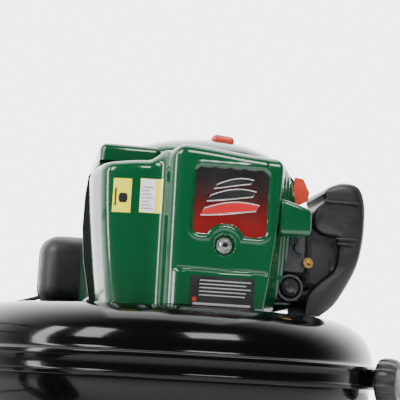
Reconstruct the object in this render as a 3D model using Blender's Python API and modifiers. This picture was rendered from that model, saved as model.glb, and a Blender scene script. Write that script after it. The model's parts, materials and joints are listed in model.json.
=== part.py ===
"""Walk-behind leaf blower: a four-stroke engine with an upright crankshaft on a flat spiral fan housing.

Metres, +Z up. Every piece is modelled around the crankshaft axis, with the floor at z = 0, and the whole
blower is then moved so that its footprint is centred on the origin.
"""

import math

import bmesh
import bpy
from mathutils import Matrix, Vector

GAP = 0.0003  # clearance left between touching pieces

# Fan housing
HOUSING_REACH = 0.235  # spiral radius where the outlet leaves, on the -X side
SPIRAL_LOSS = 0.0004  # radius lost per degree, against the air flow
TONGUE_ANGLE = 106.0
DUCT_WIDTH = 0.110
DUCT_END = 0.235
WALL = 0.0025
PAN_BOTTOM = 0.150
BELT_LOW = 0.197
BELT_TOP = 0.217
BELT_STEP = 0.004
DOME_TOP = 0.258
DOME_INSET = 0.045
PAN_INSET = 0.040
LIP_INSET = 0.0016
CLAMP_Z = 0.204
ARC_STEP = 12.0  # degrees between outline points
INTAKE_RADIUS = 0.085
SHAFT_HOLE = 0.030
CLAMP_ANGLES = {"front": -38.0, "rear": 75.0}

# Fan
FAN_RADIUS = 0.108
FAN_LOW = 0.175
FAN_PLATE = 0.230
BLADES = 8

# Engine
CYLINDER_Z = 0.312
CASE_HALF = 0.042
CASE_LOW = 0.272
CASE_TOP = 0.350
COVER_FRONT = -0.140
COVER_STEP = -0.118
BAFFLE_Y = -0.047
COVER_WALL = 0.0025
STARTER_BASE = 0.3985
STARTER_RADIUS = 0.080
PULLEY_RADIUS = 0.028
PULL_AXIS = Vector((-0.6, 0.0, 0.8))

# Tank
TANK_LOW = Vector((-0.145, 0.100, 0.2672))
TANK_HIGH = Vector((0.100, 0.176, 0.341))

# Running gear and handle
RAIL_Z = 0.128
RAIL_RADIUS = 0.0125
RAIL_Y = 0.170
RAIL_END = -0.420
AXLE_X = -0.360
WHEEL_RADIUS = 0.100
WHEEL_Y = 0.255
TYRE_WIDTH = 0.050
CASTER_X = 0.262
CASTER_TRAIL = 0.030
CASTER_RADIUS = 0.065
TUBE_RADIUS = 0.011
FOLD_PIVOT = Vector((-0.620, 0.0, 0.560))
UPPER_Y = 0.193
UPPER_LENGTH = 0.440
UPPER_ANGLE = math.radians(140.0)

COLOURS = {
    "black_gloss": ((0.012, 0.012, 0.013), 0.12, 0.0),
    "green_plastic": ((0.008, 0.130, 0.045), 0.16, 0.0),
    "dark_green": ((0.006, 0.070, 0.028), 0.25, 0.0),
    "black_plastic": ((0.030, 0.030, 0.033), 0.50, 0.0),
    "orange_plastic": ((0.850, 0.120, 0.025), 0.40, 0.0),
    "aluminium": ((0.600, 0.610, 0.620), 0.35, 1.0),
    "steel": ((0.520, 0.520, 0.530), 0.30, 1.0),
    "brass": ((0.780, 0.520, 0.180), 0.28, 1.0),
    "rubber": ((0.020, 0.020, 0.020), 0.80, 0.0),
    "clear_plastic": ((0.750, 0.780, 0.780), 0.10, 0.0),
    "foam": ((0.035, 0.035, 0.035), 0.95, 0.0),
    "black_paint": ((0.018, 0.018, 0.020), 0.30, 0.0),
}


def clear_scene():
    for old in list(bpy.data.objects):
        bpy.data.objects.remove(old)


def material(name):
    found = bpy.data.materials.get(name)
    if found:
        return found
    colour, roughness, metallic = COLOURS[name]
    made = bpy.data.materials.new(name)
    made.use_nodes = True
    shader = made.node_tree.nodes["Principled BSDF"]
    shader.inputs["Base Color"].default_value = (*colour, 1.0)
    shader.inputs["Roughness"].default_value = roughness
    shader.inputs["Metallic"].default_value = metallic
    return made


def make_collection(name):
    made = bpy.data.collections.new(name)
    bpy.context.scene.collection.children.link(made)
    return made


clear_scene()
PARTS = make_collection("walk_behind_leaf_blower")


def adopt(obj, name, finish, pivot=None):
    """Names a finished solid, gives it its material and puts its origin on its pivot."""
    if pivot is not None:
        obj.data.transform(Matrix.Translation(-Vector(pivot)))
        obj.location = pivot
    for group in list(obj.users_collection):
        group.objects.unlink(obj)
    PARTS.objects.link(obj)
    obj.name = name
    obj.data.name = name
    obj.data.materials.clear()
    obj.data.materials.append(material(finish))
    if obj.type == "MESH":
        obj.data.shade_smooth()
        obj.data.set_sharp_from_angle(angle=math.radians(35))
    return obj


def from_bmesh(mesh_data, name):
    mesh = bpy.data.meshes.new(name)
    mesh_data.to_mesh(mesh)
    mesh_data.free()
    obj = bpy.data.objects.new(name, mesh)
    bpy.context.scene.collection.objects.link(obj)
    return obj


def baked(obj):
    """The evaluated object as a plain mesh object."""
    graph = bpy.context.evaluated_depsgraph_get()
    mesh = bpy.data.meshes.new_from_object(obj.evaluated_get(graph))
    work = bmesh.new()
    work.from_mesh(mesh)
    bmesh.ops.remove_doubles(work, verts=work.verts, dist=0.00001)
    work.to_mesh(mesh)
    work.free()
    made = bpy.data.objects.new(obj.name, mesh)
    made.matrix_world = obj.matrix_world
    bpy.context.scene.collection.objects.link(made)
    bpy.data.objects.remove(obj)
    return made


def box(low, high, bevel=0.0, segments=1):
    low, high = Vector(low), Vector(high)
    work = bmesh.new()
    bmesh.ops.create_cube(work, size=1.0)
    bmesh.ops.scale(work, vec=high - low, verts=work.verts)
    bmesh.ops.translate(work, vec=(low + high) / 2, verts=work.verts)
    if bevel:
        bmesh.ops.bevel(
            work, geom=work.edges[:], offset=bevel, segments=segments, profile=0.5, affect="EDGES"
        )
    return from_bmesh(work, "box")


def rod(start, end, radius, sides=20, end_radius=None):
    """A cylinder, or a cone, from one point to another."""
    start, end = Vector(start), Vector(end)
    run = end - start
    work = bmesh.new()
    bmesh.ops.create_cone(
        work, cap_ends=True, segments=sides, radius1=radius,
        radius2=radius if end_radius is None else end_radius, depth=run.length,
    )
    turn = run.to_track_quat("Z", "Y").to_matrix().to_4x4()
    bmesh.ops.transform(work, matrix=Matrix.Translation((start + end) / 2) @ turn, verts=work.verts)
    return from_bmesh(work, "rod")


def pipe(start, end, inner, outer, sides=20):
    """A hollow cylinder from one point to another."""
    start, end = Vector(start), Vector(end)
    over = (end - start).normalized() * 0.001
    return cut(rod(start, end, outer, sides), rod(start - over, end + over, inner, sides))


def combine(obj, other, operation):
    modifier = obj.modifiers.new(operation.lower(), "BOOLEAN")
    modifier.operation = operation
    modifier.solver = "EXACT"
    modifier.object = other
    bpy.context.view_layer.update()
    made = baked(obj)
    bpy.data.objects.remove(other)
    return made


def cut(obj, *cutters):
    for cutter in cutters:
        obj = combine(obj, cutter, "DIFFERENCE")
    return obj


def join(obj, *others):
    for other in others:
        obj = combine(obj, other, "UNION")
    return obj


def turned(profile, centre, axis="Z", steps=32):
    """A profile of (radius, height) points, top to bottom on its outer side, spun about an axis."""
    work = bmesh.new()
    points = [work.verts.new((radius, 0.0, height)) for radius, height in profile]
    for first, second in zip(points, points[1:]):
        work.edges.new((first, second))
    if profile[0][0] > 0 and profile[-1][0] > 0:
        work.edges.new((points[-1], points[0]))
    obj = from_bmesh(work, "turned")
    screw = obj.modifiers.new("spin", "SCREW")
    screw.axis = "Z"
    screw.steps = steps
    screw.render_steps = steps
    screw.use_merge_vertices = True
    screw.merge_threshold = 0.00001
    made = baked(obj)
    turn = {"Z": Matrix.Identity(4), "Y": Matrix.Rotation(math.radians(-90), 4, "X")}[axis]
    made.data.transform(Matrix.Translation(centre) @ turn)
    return made


def rounded(points, radius, arc_points=4):
    """A path with each inner corner replaced by an arc."""
    points = [Vector(p) for p in points]
    path = [points[0]]
    for before, corner, after in zip(points, points[1:], points[2:]):
        back, ahead = (before - corner).normalized(), (after - corner).normalized()
        reach = min(radius, (before - corner).length / 2, (after - corner).length / 2)
        for step in range(arc_points + 1):
            t = step / arc_points
            path.append(corner + back * reach * (1 - t) ** 2 + ahead * reach * t**2)
    path.append(points[-1])
    return path


def tube(points, radius, bevel_resolution=2):
    curve = bpy.data.curves.new("tube", "CURVE")
    curve.dimensions = "3D"
    curve.bevel_depth = radius
    curve.bevel_resolution = bevel_resolution
    curve.use_fill_caps = True
    spline = curve.splines.new("POLY")
    spline.points.add(len(points) - 1)
    for place, point in zip(spline.points, points):
        place.co = (*point, 1.0)
    obj = bpy.data.objects.new("tube", curve)
    bpy.context.scene.collection.objects.link(obj)
    bpy.context.view_layer.update()
    return baked(obj)


def smooth_route(points, spacing):
    """Evenly spaced points on a smooth curve through the given ones."""
    points = [Vector(p) for p in points]
    ends = [points[0] * 2 - points[1], *points, points[-1] * 2 - points[-2]]
    fine = []
    for before, here, there, after in zip(ends, ends[1:], ends[2:], ends[3:]):
        for step in range(16):
            t = step / 16
            fine.append(
                0.5 * (2 * here + (there - before) * t + (2 * before - 5 * here + 4 * there - after) * t**2
                       + (3 * here - before - 3 * there + after) * t**3)
            )
    fine.append(points[-1])
    route, run = [fine[0]], 0.0
    for first, second in zip(fine, fine[1:]):
        run += (second - first).length
        if run >= spacing:
            route.append(second)
            run = 0.0
    if run > spacing / 3:
        route.append(fine[-1])
    else:
        route[-1] = fine[-1]
    return route


def prism(outline, y_low, y_high):
    """A flat outline of (x, z) points, thick along Y."""
    curve = bpy.data.curves.new("prism", "CURVE")
    curve.dimensions = "2D"
    curve.fill_mode = "BOTH"
    curve.extrude = (y_high - y_low) / 2
    spline = curve.splines.new("POLY")
    spline.points.add(len(outline) - 1)
    spline.use_cyclic_u = True
    for place, (x, z) in zip(spline.points, outline):
        place.co = (x, z, 0.0, 1.0)
    obj = bpy.data.objects.new("prism", curve)
    bpy.context.scene.collection.objects.link(obj)
    obj.matrix_world = Matrix.Translation((0, (y_low + y_high) / 2, 0)) @ Matrix.Rotation(math.pi / 2, 4, "X")
    bpy.context.view_layer.update()
    made = baked(obj)
    made.data.transform(made.matrix_world)
    made.matrix_world = Matrix.Identity(4)
    return made


def moved(obj, matrix):
    obj.data.transform(matrix)
    return obj


def turn_about_z(degrees):
    return Matrix.Rotation(math.radians(degrees), 4, "Z")


# ---------------------------------------------------------------- fan housing


def spiral_radius(angle):
    return HOUSING_REACH - SPIRAL_LOSS * (angle + 180.0)


def housing_outline(inset):
    """Plan of the spiral and its outlet duct, drawn in by inset, with a fixed count of points."""
    steps = int((TONGUE_ANGLE + 180.0) / ARC_STEP)
    points = []
    for step in range(steps + 1):
        angle = TONGUE_ANGLE - step * (TONGUE_ANGLE + 180.0) / steps
        radius = spiral_radius(angle) - inset
        points.append((radius * math.cos(math.radians(angle)), radius * math.sin(math.radians(angle))))
    outer, inner = -(HOUSING_REACH - inset), -(HOUSING_REACH - DUCT_WIDTH + inset)
    far = DUCT_END + 0.05
    points += [(outer, DUCT_END / 2), (outer, far), (inner, far), (inner, DUCT_END * 0.75)]
    return points


def shell_of_rings(rings, thickness):
    """A lid-like surface through rings of equal point counts, closed by the last, thickened inwards."""
    work = bmesh.new()
    rows = [[work.verts.new((x, y, z)) for x, y in outline] for outline, z in rings]
    for low, high in zip(rows, rows[1:]):
        for index in range(len(low)):
            after = (index + 1) % len(low)
            work.faces.new((low[index], low[after], high[after], high[index]))
    lid = work.faces.new(rows[-1])
    bmesh.ops.recalc_face_normals(work, faces=work.faces)
    outward = rings[-1][1] - rings[0][1]
    if lid.normal.z * outward < 0:
        bmesh.ops.reverse_faces(work, faces=work.faces)
    obj = from_bmesh(work, "shell")
    solid = obj.modifiers.new("wall", "SOLIDIFY")
    solid.thickness = thickness
    solid.offset = -1.0
    bpy.context.view_layer.update()
    return baked(obj)


def shoulder(low, high, inset, steps):
    """(inset, height) along the quarter ellipse from an upright wall to a flat face."""
    found = []
    for step in range(steps + 1):
        angle = math.pi / 2 * step / steps
        found.append((inset * (1 - math.cos(angle)), low + (high - low) * math.sin(angle)))
    return found


def duct_mouth():
    return box((-0.4, DUCT_END, 0.0), (0.0, DUCT_END + 0.2, 0.4))


def volute_top():
    rings = [(housing_outline(-BELT_STEP), BELT_LOW), (housing_outline(-BELT_STEP), BELT_TOP)]
    rings += [(housing_outline(inset), z) for inset, z in shoulder(BELT_TOP + 0.0040, DOME_TOP, DOME_INSET, 3)]
    shaft_hole = rod((0, 0, DOME_TOP - 0.02), (0, 0, DOME_TOP + 0.02), SHAFT_HOLE, 24)
    shell = cut(shell_of_rings(rings, WALL), duct_mouth(), shaft_hole)
    return join(shell, *clamp_tabs())


def volute_bottom():
    lip = BELT_LOW + 0.010
    rings = [(housing_outline(LIP_INSET), lip)]
    rings += [(housing_outline(LIP_INSET + inset), z) for inset, z in shoulder(BELT_LOW, PAN_BOTTOM, PAN_INSET, 3)]
    intake = rod((0, 0, PAN_BOTTOM - 0.02), (0, 0, PAN_BOTTOM + 0.02), INTAKE_RADIUS, 32)
    return cut(shell_of_rings(rings, WALL), duct_mouth(), intake)


def intake_grille():
    """Flat ring under the pan with an inner ring and cross bars."""
    high, low = PAN_BOTTOM - GAP, PAN_BOTTOM - 0.0035
    solid = pipe((0, 0, low), (0, 0, high), INTAKE_RADIUS - 0.002, INTAKE_RADIUS + 0.012, 24)
    solid = join(solid, pipe((0, 0, low), (0, 0, high), 0.043, 0.047, 16))
    for degrees in (0, 90):
        bar = box((-INTAKE_RADIUS, -0.0018, low + 0.0002), (INTAKE_RADIUS, 0.0018, high - 0.0002))
        solid = join(solid, moved(bar, turn_about_z(degrees)))
    return solid


def radial(angle, radius, z):
    return Vector((radius * math.cos(math.radians(angle)), radius * math.sin(math.radians(angle)), z))


def clamp_radius(angle):
    turn = angle - 360.0 if angle > TONGUE_ANGLE else angle
    return spiral_radius(turn) + BELT_STEP


def clamp_tabs():
    """Tabs on the belt that take the knob studs."""
    tabs = []
    for angle in CLAMP_ANGLES.values():
        reach = clamp_radius(angle)
        tab = box((reach - 0.0016, -0.010, BELT_LOW + 0.002), (reach + 0.0070, 0.010, BELT_TOP - 0.002))
        tabs.append(moved(tab, turn_about_z(angle)))
    return tabs


def clamp_knob(angle):
    reach = clamp_radius(angle) + 0.0080
    z = CLAMP_Z
    body = rod(radial(angle, reach, z), radial(angle, reach + 0.012, z), 0.0215, 20)
    face = rod(radial(angle, reach + 0.011, z), radial(angle, reach + 0.019, z), 0.0195, 20, 0.0165)
    return join(body, face)


def fan():
    """Back plate, hub and straight radial blades."""
    solid = rod((0, 0, FAN_PLATE), (0, 0, FAN_PLATE + 0.0025), FAN_RADIUS, 32)
    solid = join(solid, rod((0, 0, 0.165), (0, 0, FAN_PLATE + 0.001), 0.022, 20))
    for blade in range(BLADES):
        vane = box((0.020, -0.0012, FAN_LOW), (FAN_RADIUS - 0.002, 0.0012, FAN_PLATE + 0.0005))
        solid = join(solid, moved(vane, turn_about_z(360.0 * blade / BLADES)))
    return cut(solid, rod((0, 0, 0.150), (0, 0, 0.250), 0.0084, 20))


def fan_bolt():
    head = rod((0, 0, 0.1575), (0, 0, 0.1647), 0.0110, 6)
    return join(head, rod((0, 0, 0.1640), (0, 0, 0.1795), 0.0055, 16))


# ---------------------------------------------------------------- engine


def engine_base():
    """Round flange that bolts down on the housing."""
    plate = rod((0, 0, DOME_TOP + GAP), (0, 0, CASE_LOW - GAP), 0.076, 28)
    return cut(plate, rod((0, 0, 0.2), (0, 0, 0.3), 0.026, 20))


def flange_bosses():
    bosses = []
    for x in (-0.053, 0.053):
        for y in (-0.043, 0.043):
            bosses.append(rod((x, y, CASE_LOW - 0.003), (x, y, CASE_LOW + 0.006), 0.0055, 6))
    return bosses


def crankcase():
    solid = box((-CASE_HALF, -CASE_HALF, CASE_LOW - 0.006), (CASE_HALF, CASE_HALF, CASE_TOP), 0.006, 2)
    return cut(
        join(engine_base(), solid, *flange_bosses()),
        rod((0, 0, CASE_LOW + 0.008), (0, 0, CASE_TOP - 0.008), 0.034, 24),
        rod((0, 0, CASE_LOW - 0.01), (0, 0, CASE_TOP + 0.01), 0.0085, 20),
        rod((0, -CASE_HALF - 0.01, CYLINDER_Z), (0, -0.02, CYLINDER_Z), 0.0215, 20),
    )


def crankshaft():
    """Output shaft, two webs with the crank pin between them, and the flywheel taper."""
    solid = rod((0, 0, 0.180), (0, 0, 0.295), 0.0080, 20)
    solid = join(
        solid,
        rod((0, 0, 0.290), (0, 0, 0.298), 0.0260, 20),
        rod((0.013, 0, 0.297), (0.013, 0, 0.324), 0.0070, 16),
        rod((0, 0, 0.323), (0, 0, 0.331), 0.0260, 20),
        rod((0, 0, 0.330), (0, 0, 0.391), 0.0078, 20),
    )
    return solid


def cylinder():
    """Barrel with square cooling fins."""
    solid = rod((0, -CASE_HALF - GAP, CYLINDER_Z), (0, -0.0950, CYLINDER_Z), 0.0260, 24)
    for fin in range(6):
        y = -0.0540 - fin * 0.0080
        plate = box((-0.031, y - 0.0010, CYLINDER_Z - 0.031), (0.031, y + 0.0010, CYLINDER_Z + 0.031))
        solid = join(solid, plate)
    return cut(solid, rod((0, -0.02, CYLINDER_Z), (0, -0.12, CYLINDER_Z), 0.0200, 24))


def piston():
    crown = rod((0, -0.0600, CYLINDER_Z), (0, -0.0850, CYLINDER_Z), 0.0195, 24)
    return cut(crown, rod((0, -0.0500, CYLINDER_Z), (0, -0.0810, CYLINDER_Z), 0.0165, 20))


def cylinder_head():
    """Finned block with the rocker cover on its front, cast as one."""
    block = box((-0.030, -0.1120, CYLINDER_Z - 0.030), (0.030, -0.0953, CYLINDER_Z + 0.030), 0.003)
    block = join(block, box((-0.025, -0.1283, CYLINDER_Z - 0.025), (0.025, -0.1090, CYLINDER_Z + 0.025), 0.004))
    return cut(block, rod((0, -0.1040, CYLINDER_Z + 0.010), (0, -0.1040, CYLINDER_Z + 0.05), 0.0052, 16))


def spark_plug():
    low = CYLINDER_Z + 0.0103
    plug = rod((0, -0.1040, low), (0, -0.1040, low + 0.0250), 0.0048, 16)
    return join(plug, rod((0, -0.1040, low + 0.0205), (0, -0.1040, low + 0.0265), 0.0085, 6))


def plug_cap():
    low = CYLINDER_Z + 0.0373
    return join(
        rod((0, -0.1040, low), (0, -0.1040, low + 0.0200), 0.0090, 16),
        rod((0, -0.1040, low + 0.0130), (0, -0.0800, low + 0.0130), 0.0055, 12),
    )


def ignition_coil():
    return box((-0.024, 0.0450, 0.3560), (0.024, 0.0610, 0.3860), 0.003)


def muffler():
    can = box((-0.0960, -0.1060, 0.2840), (-0.0480, -0.0580, 0.3600), 0.008, 2)
    return join(can, rod((-0.0500, -0.1030, CYLINDER_Z), (-0.0305, -0.1030, CYLINDER_Z), 0.0070, 16))


def flywheel():
    """Magnet ring and cooling fins on a bored hub."""
    solid = rod((0, 0, 0.3580), (0, 0, 0.3700), 0.0430, 24)
    for fin in range(8):
        vane = box((0.012, -0.0012, 0.3690), (0.042, 0.0012, 0.3860))
        solid = join(solid, moved(vane, turn_about_z(45.0 * fin)))
    solid = join(solid, rod((0, 0, 0.3690), (0, 0, 0.3860), 0.0140, 16))
    return cut(solid, rod((0, 0, 0.35), (0, 0, 0.40), 0.0083, 20))


def cover_top(x):
    """Height of the front cover's top edge across its width: low over the muffler, high over the head."""
    if x < -0.059:
        return 0.3860 - 0.0020 * min(1.0, (-0.059 - x) / 0.05)
    if x < -0.043:
        return 0.3860 + 0.0085 * (x + 0.059) / 0.016
    return 0.3945 - 0.0030 * (x + 0.043) / 0.095


def cover_plan():
    """(x, y) from the left rear edge, round the front, to the right edge of the front cover."""
    rear, edge = BAFFLE_Y - 0.0018, COVER_FRONT + 0.026
    points = [(-0.1120, rear), (-0.1130, -0.0780), (-0.1085, -0.1000), (-0.0980, -0.1130)]
    points += [(-0.0840, COVER_STEP), (-0.0520, COVER_STEP), (-0.0470, -0.1230), (-0.0455, -0.1340)]
    points += [(-0.0400, COVER_FRONT), (0.0000, COVER_FRONT), (0.0430, COVER_FRONT)]
    points += [(0.0490, -0.1350), (0.0500, edge)]
    return points


def cover_row(share, inset):
    """The plan at one share of the cover's height, narrowing towards the foot."""
    row = []
    for x, y in cover_plan():
        taper = (1 - share) ** 2
        x_here = x * (1 - 0.10 * taper) if x < -0.06 else x - 0.012 * taper * max(0.0, x) / 0.05
        centre_x, centre_y = 0.0, -0.06
        run = Vector((centre_x - x_here, centre_y - y, 0.0))
        shift = run.normalized() * inset if inset and run.length > inset else Vector()
        if y > BAFFLE_Y - 0.003:
            shift.y = 0.0
        top = cover_top(x) - GAP
        row.append((x_here + shift.x, y + shift.y, 0.2600 + (top - 0.2600) * share))
    return row


def front_cover():
    """Green cover over the head and the muffler, with the tab that shades the carburettor."""
    rows = [cover_row(share, inset) for share, inset in
            ((0.0, 0.0), (0.25, 0.0), (0.55, 0.0), (0.93, 0.0), (0.98, 0.003), (1.0, 0.009))]
    rear = [(x, max(y, BAFFLE_Y - 0.0018), z) for x, y, z in rows[-1]]
    rows.append([(x, BAFFLE_Y - 0.0018, z) for x, _, z in rear])
    work = bmesh.new()
    made = [[work.verts.new(point) for point in row] for row in rows]
    for low, high in zip(made, made[1:]):
        for index in range(len(low) - 1):
            corners = (low[index], low[index + 1], high[index + 1], high[index])
            work.faces.new(corners)
    bmesh.ops.remove_doubles(work, verts=work.verts, dist=0.0001)
    obj = from_bmesh(work, "cover")
    solid = obj.modifiers.new("wall", "SOLIDIFY")
    solid.thickness = COVER_WALL
    solid.offset = -1.0
    bpy.context.view_layer.update()
    shell = baked(obj)
    tab = box((0.0480, -0.1390, 0.3255), (0.0770, -0.1120, 0.3560), 0.003)
    hollow = box((0.0400, -0.1365, 0.3200), (0.0745, -0.1000, 0.3535))
    shell = join(shell, cut(tab, hollow))
    return cut(shell, rod((0, -0.16, 0.315), (0, -0.12, 0.315), 0.0042, 16))


def cover_bolt():
    head = rod((0, -0.1465, 0.315), (0, -0.1404, 0.315), 0.0048, 16)
    head = cut(head, rod((0, -0.148, 0.315), (0, -0.1435, 0.315), 0.0024, 6))
    return join(head, rod((0, -0.1410, 0.315), (0, -0.1286, 0.315), 0.0028, 12))


def baffle_plate():
    """Black plate between the front and rear covers, which the barrel passes through."""
    outline = [(0.0440, 0.2800), (-0.0785, 0.2800), (-0.0800, 0.2610), (-0.1040, 0.2610), (-0.1120, 0.3000), (-0.1150, 0.3300), (-0.1145, 0.3600), (-0.1125, 0.3790)]
    outline += [(-0.1060, 0.3850), (0.0380, 0.3850), (0.0440, 0.3800)]
    plate = prism(outline, BAFFLE_Y - 0.0015, BAFFLE_Y + 0.0015)
    return cut(plate, rod((0, -0.06, CYLINDER_Z), (0, -0.03, CYLINDER_Z), 0.0275, 24))


def rear_cover():
    """Dark green fan shroud behind the baffle, raised over the muffler, open below and to the flywheel."""
    front = BAFFLE_Y + 0.0020
    shell = box((-0.1050, front - 0.02, 0.2500), (0.0850, 0.0950, 0.3980), 0.014, 2)
    raised = box((-0.1050, front - 0.02, 0.3700), (-0.0550, 0.0300, 0.4085), 0.006, 2)
    shell = join(shell, cut(raised, rod((0, 0, STARTER_BASE - 0.0020), (0, 0, 0.42), STARTER_RADIUS + 0.0015, 32)))
    wall = COVER_WALL
    hollow = box((-0.1050 + wall, front - 0.03, 0.2400), (0.0850 - wall, 0.0950 - wall, 0.3980 - wall), 0.011, 2)
    shell = cut(shell, hollow, box((-0.2, front - 0.05, 0.2), (0.2, front, 0.5)))
    shell = cut(shell, box((-0.2, -0.1, 0.24), (0.2, 0.2, 0.2680)))
    return cut(shell, rod((0, 0, 0.38), (0, 0, 0.42), 0.0580, 28))


def starter_housing():
    """Dome over the flywheel with a post for the pulley, air slots and a recess for the grip."""
    wall = 0.0025
    base, top = STARTER_BASE, 0.4325
    radius = STARTER_RADIUS
    profile = [(0.0, top), (0.045, top - 0.003), (0.071, top - 0.009), (radius, top - 0.019), (radius, base)]
    profile += [(radius - wall, base), (radius - wall, top - 0.020), (0.069, top - 0.009 - wall)]
    profile += [(0.044, top - 0.003 - wall), (0.0055, top - wall), (0.0055, 0.3945), (0.0, 0.3945)]
    dome = turned(profile, (0, 0, 0), steps=24)
    for slot in range(4):
        slit = box((0.050, -0.0030, 0.41), (0.067, 0.0030, 0.44))
        dome = cut(dome, moved(slit, turn_about_z(-25.0 + slot * 24.0)))
    x, y, z = starter_exit()
    floor = box((x - 0.0200, y - 0.0235, z - 0.0020), (x + 0.0160, y + 0.0235, z + 0.0120))
    pocket = box((x - 0.0180, y - 0.0215, z), (x + 0.0140, y + 0.0215, z + 0.05))
    dome = cut(join(dome, floor), pocket, box((-0.1, -0.1, top - 0.0045), (0.1, y - 0.0225, 0.46)))
    guide = starter_exit()
    return cut(dome, rod(guide - PULL_AXIS * 0.014, guide + PULL_AXIS * 0.012, 0.0030, 12))


def starter_exit():
    """Where the rope leaves the floor of the recess."""
    return Vector((0.0140, -0.0300, 0.4170))


def starter_pulley():
    centre = pipe((0, 0, 0.3990), (0, 0, 0.4100), 0.0058, 0.0240, 20)
    flanges = [pipe((0, 0, z), (0, 0, z + 0.0015), 0.0060, PULLEY_RADIUS, 20) for z in (0.3985, 0.4090)]
    return join(centre, *flanges)


def starter_handle():
    """Grip bar across the rope, on top of the dome."""
    start = starter_exit() + PULL_AXIS * 0.0058
    bar = box((-0.0085, -0.0190, 0.0), (0.0085, 0.0190, 0.0100), 0.0035, 2)
    tilt = Matrix.Rotation(math.atan2(PULL_AXIS.x, PULL_AXIS.z), 4, "Y")
    bar = moved(bar, Matrix.Translation(start) @ tilt)
    return cut(bar, rod(start - PULL_AXIS * 0.005, start + PULL_AXIS * 0.007, 0.0022, 12))


def starter_rope():
    low = starter_exit() - PULL_AXIS * 0.0070
    return rod(low, starter_exit() + PULL_AXIS * 0.0118, 0.0016, 10)


def carburettor():
    """Body, bowl flange and the collar round the primer bulb."""
    body = box((0.0518, -0.0990, 0.2950), (0.0845, -0.0640, 0.3360), 0.003)
    body = join(body, box((0.0313, -0.0980, 0.2990), (0.0530, -0.0740, 0.3270), 0.002))
    body = join(body, box((0.0560, -0.0950, 0.2700), (0.0800, -0.0680, 0.2960), 0.002))
    lugs = [box((0.0640, y - 0.0030, 0.3340), (0.0770, y + 0.0030, 0.3500)) for y in (-0.0672, -0.0836)]
    body = join(body, *lugs)
    body = cut(body, rod((0.02, -0.086, 0.313), (0.10, -0.086, 0.313), 0.0070, 16))
    collar = pipe((0.0680, -0.1040, 0.2830), (0.0680, -0.0945, 0.2830), 0.0098, 0.0120, 20)
    screw = rod((0.0760, -0.1040, 0.3190), (0.0760, -0.0985, 0.3190), 0.0048, 16)
    return join(body, collar, screw)


def primer_bulb():
    profile = [(0.0, 0.0065), (0.0045, 0.0058), (0.0078, 0.0035), (0.0090, 0.0), (0.0, 0.0)]
    bulb = turned(profile, (0, 0, 0), steps=20)
    return moved(bulb, Matrix.Translation((0.0680, -0.1015, 0.2830)) @ Matrix.Rotation(math.pi / 2, 4, "X"))


def fuel_fitting():
    return cut(
        rod((0.0835, -0.1060, 0.3060), (0.0835, -0.0993, 0.3060), 0.0046, 16),
        rod((0.0835, -0.1070, 0.3060), (0.0835, -0.1020, 0.3060), 0.0022, 12),
    )


CHOKE_PIVOT = Vector((0.0700, -0.0895, 0.3430))
THROTTLE_ARM_PIVOT = Vector((0.0700, -0.0718, 0.3445))


def choke_lever():
    outline = [(0.0665, 0.3400), (0.0735, 0.3400), (0.0775, 0.3600), (0.0850, 0.3640), (0.0860, 0.3720)]
    outline += [(0.0800, 0.3840), (0.0725, 0.3850), (0.0700, 0.3650)]
    return prism(outline, -0.0920, -0.0870)


def throttle_arm():
    outline = [(0.0660, 0.3395), (0.0740, 0.3395), (0.0690, 0.3590), (0.0640, 0.3590)]
    return prism(outline, -0.0730, -0.0705)


def guard_outline(inset):
    """Side view of the air cleaner case: a tall curved back and a low toe."""
    outline = [(0.0700 + inset, 0.2625 + inset), (0.0960 - inset * 0.4, 0.2625 + inset)]
    arc = [(0.1100, 0.2760), (0.1215, 0.2930), (0.1300, 0.3120), (0.1340, 0.3320), (0.1350, 0.3540), (0.1325, 0.3730)]
    outline += [(x - inset, z) for x, z in arc]
    outline += [(0.1290 - inset, 0.3780 - inset), (0.1120, 0.3809 - inset)]
    return outline


def filter_cover():
    """Black case round the carburettor: a front plate with a window and a rim that runs back."""
    front, back = -0.1110, -0.0480
    plate = guard_outline(0.0) + [(0.1120, 0.3640), (0.1060, 0.3640), (0.0960, 0.3560), (0.0700, 0.3540)]
    solid = prism(plate, front, front + 0.003)
    rim = guard_outline(0.0)[1:] + list(reversed(guard_outline(0.003)[1:]))
    solid = join(solid, prism(rim, front + 0.001, back))
    window = [(0.0600, 0.3300), (0.0960, 0.3300), (0.1060, 0.3220), (0.1080, 0.3080), (0.0980, 0.2990), (0.0600, 0.2990)]
    return cut(solid, prism(window, front - 0.01, front + 0.01), box((0.05, -0.12, 0.265), (0.0805, -0.09, 0.300)))


def filter_element():
    return box((0.0860, -0.0960, 0.2860), (0.1070, -0.0560, 0.3480), 0.003)


# ---------------------------------------------------------------- fuel


def fuel_tank():
    """Blow-moulded tank with two lugs against the fan shroud; its neck is hollow so that the inside is open."""
    shell = box(TANK_LOW, TANK_HIGH, 0.018, 3)
    shell = join(shell, rod((0.060, 0.138, 0.330), (0.060, 0.138, 0.350), 0.0160, 20))
    for left in (-0.085, 0.030):
        shell = join(shell, box((left, 0.0953, 0.2880), (left + 0.034, 0.1015, 0.3240), 0.001))
    inset = Vector((0.003, 0.003, 0.003))
    hollow = box(TANK_LOW + inset, TANK_HIGH - inset, 0.015, 2)
    return cut(shell, hollow, rod((0.060, 0.138, 0.320), (0.060, 0.138, 0.360), 0.0130, 20))


def fuel_cap():
    cap = rod((0.060, 0.138, 0.3415), (0.060, 0.138, 0.3620), 0.0230, 20)
    return cut(cap, rod((0.060, 0.138, 0.340), (0.060, 0.138, 0.3575), 0.0168, 20))


FUEL_LINE_ROUTE = [
    (0.1035, 0.1400, 0.2850), (0.1130, 0.1400, 0.2840), (0.1220, 0.1250, 0.2800), (0.1200, 0.0800, 0.2780),
    (0.1080, 0.0300, 0.2780), (0.1000, -0.0100, 0.2830), (0.0930, -0.0400, 0.2880), (0.0800, -0.0570, 0.2880),
    (0.0720, -0.0660, 0.2850),
]

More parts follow.
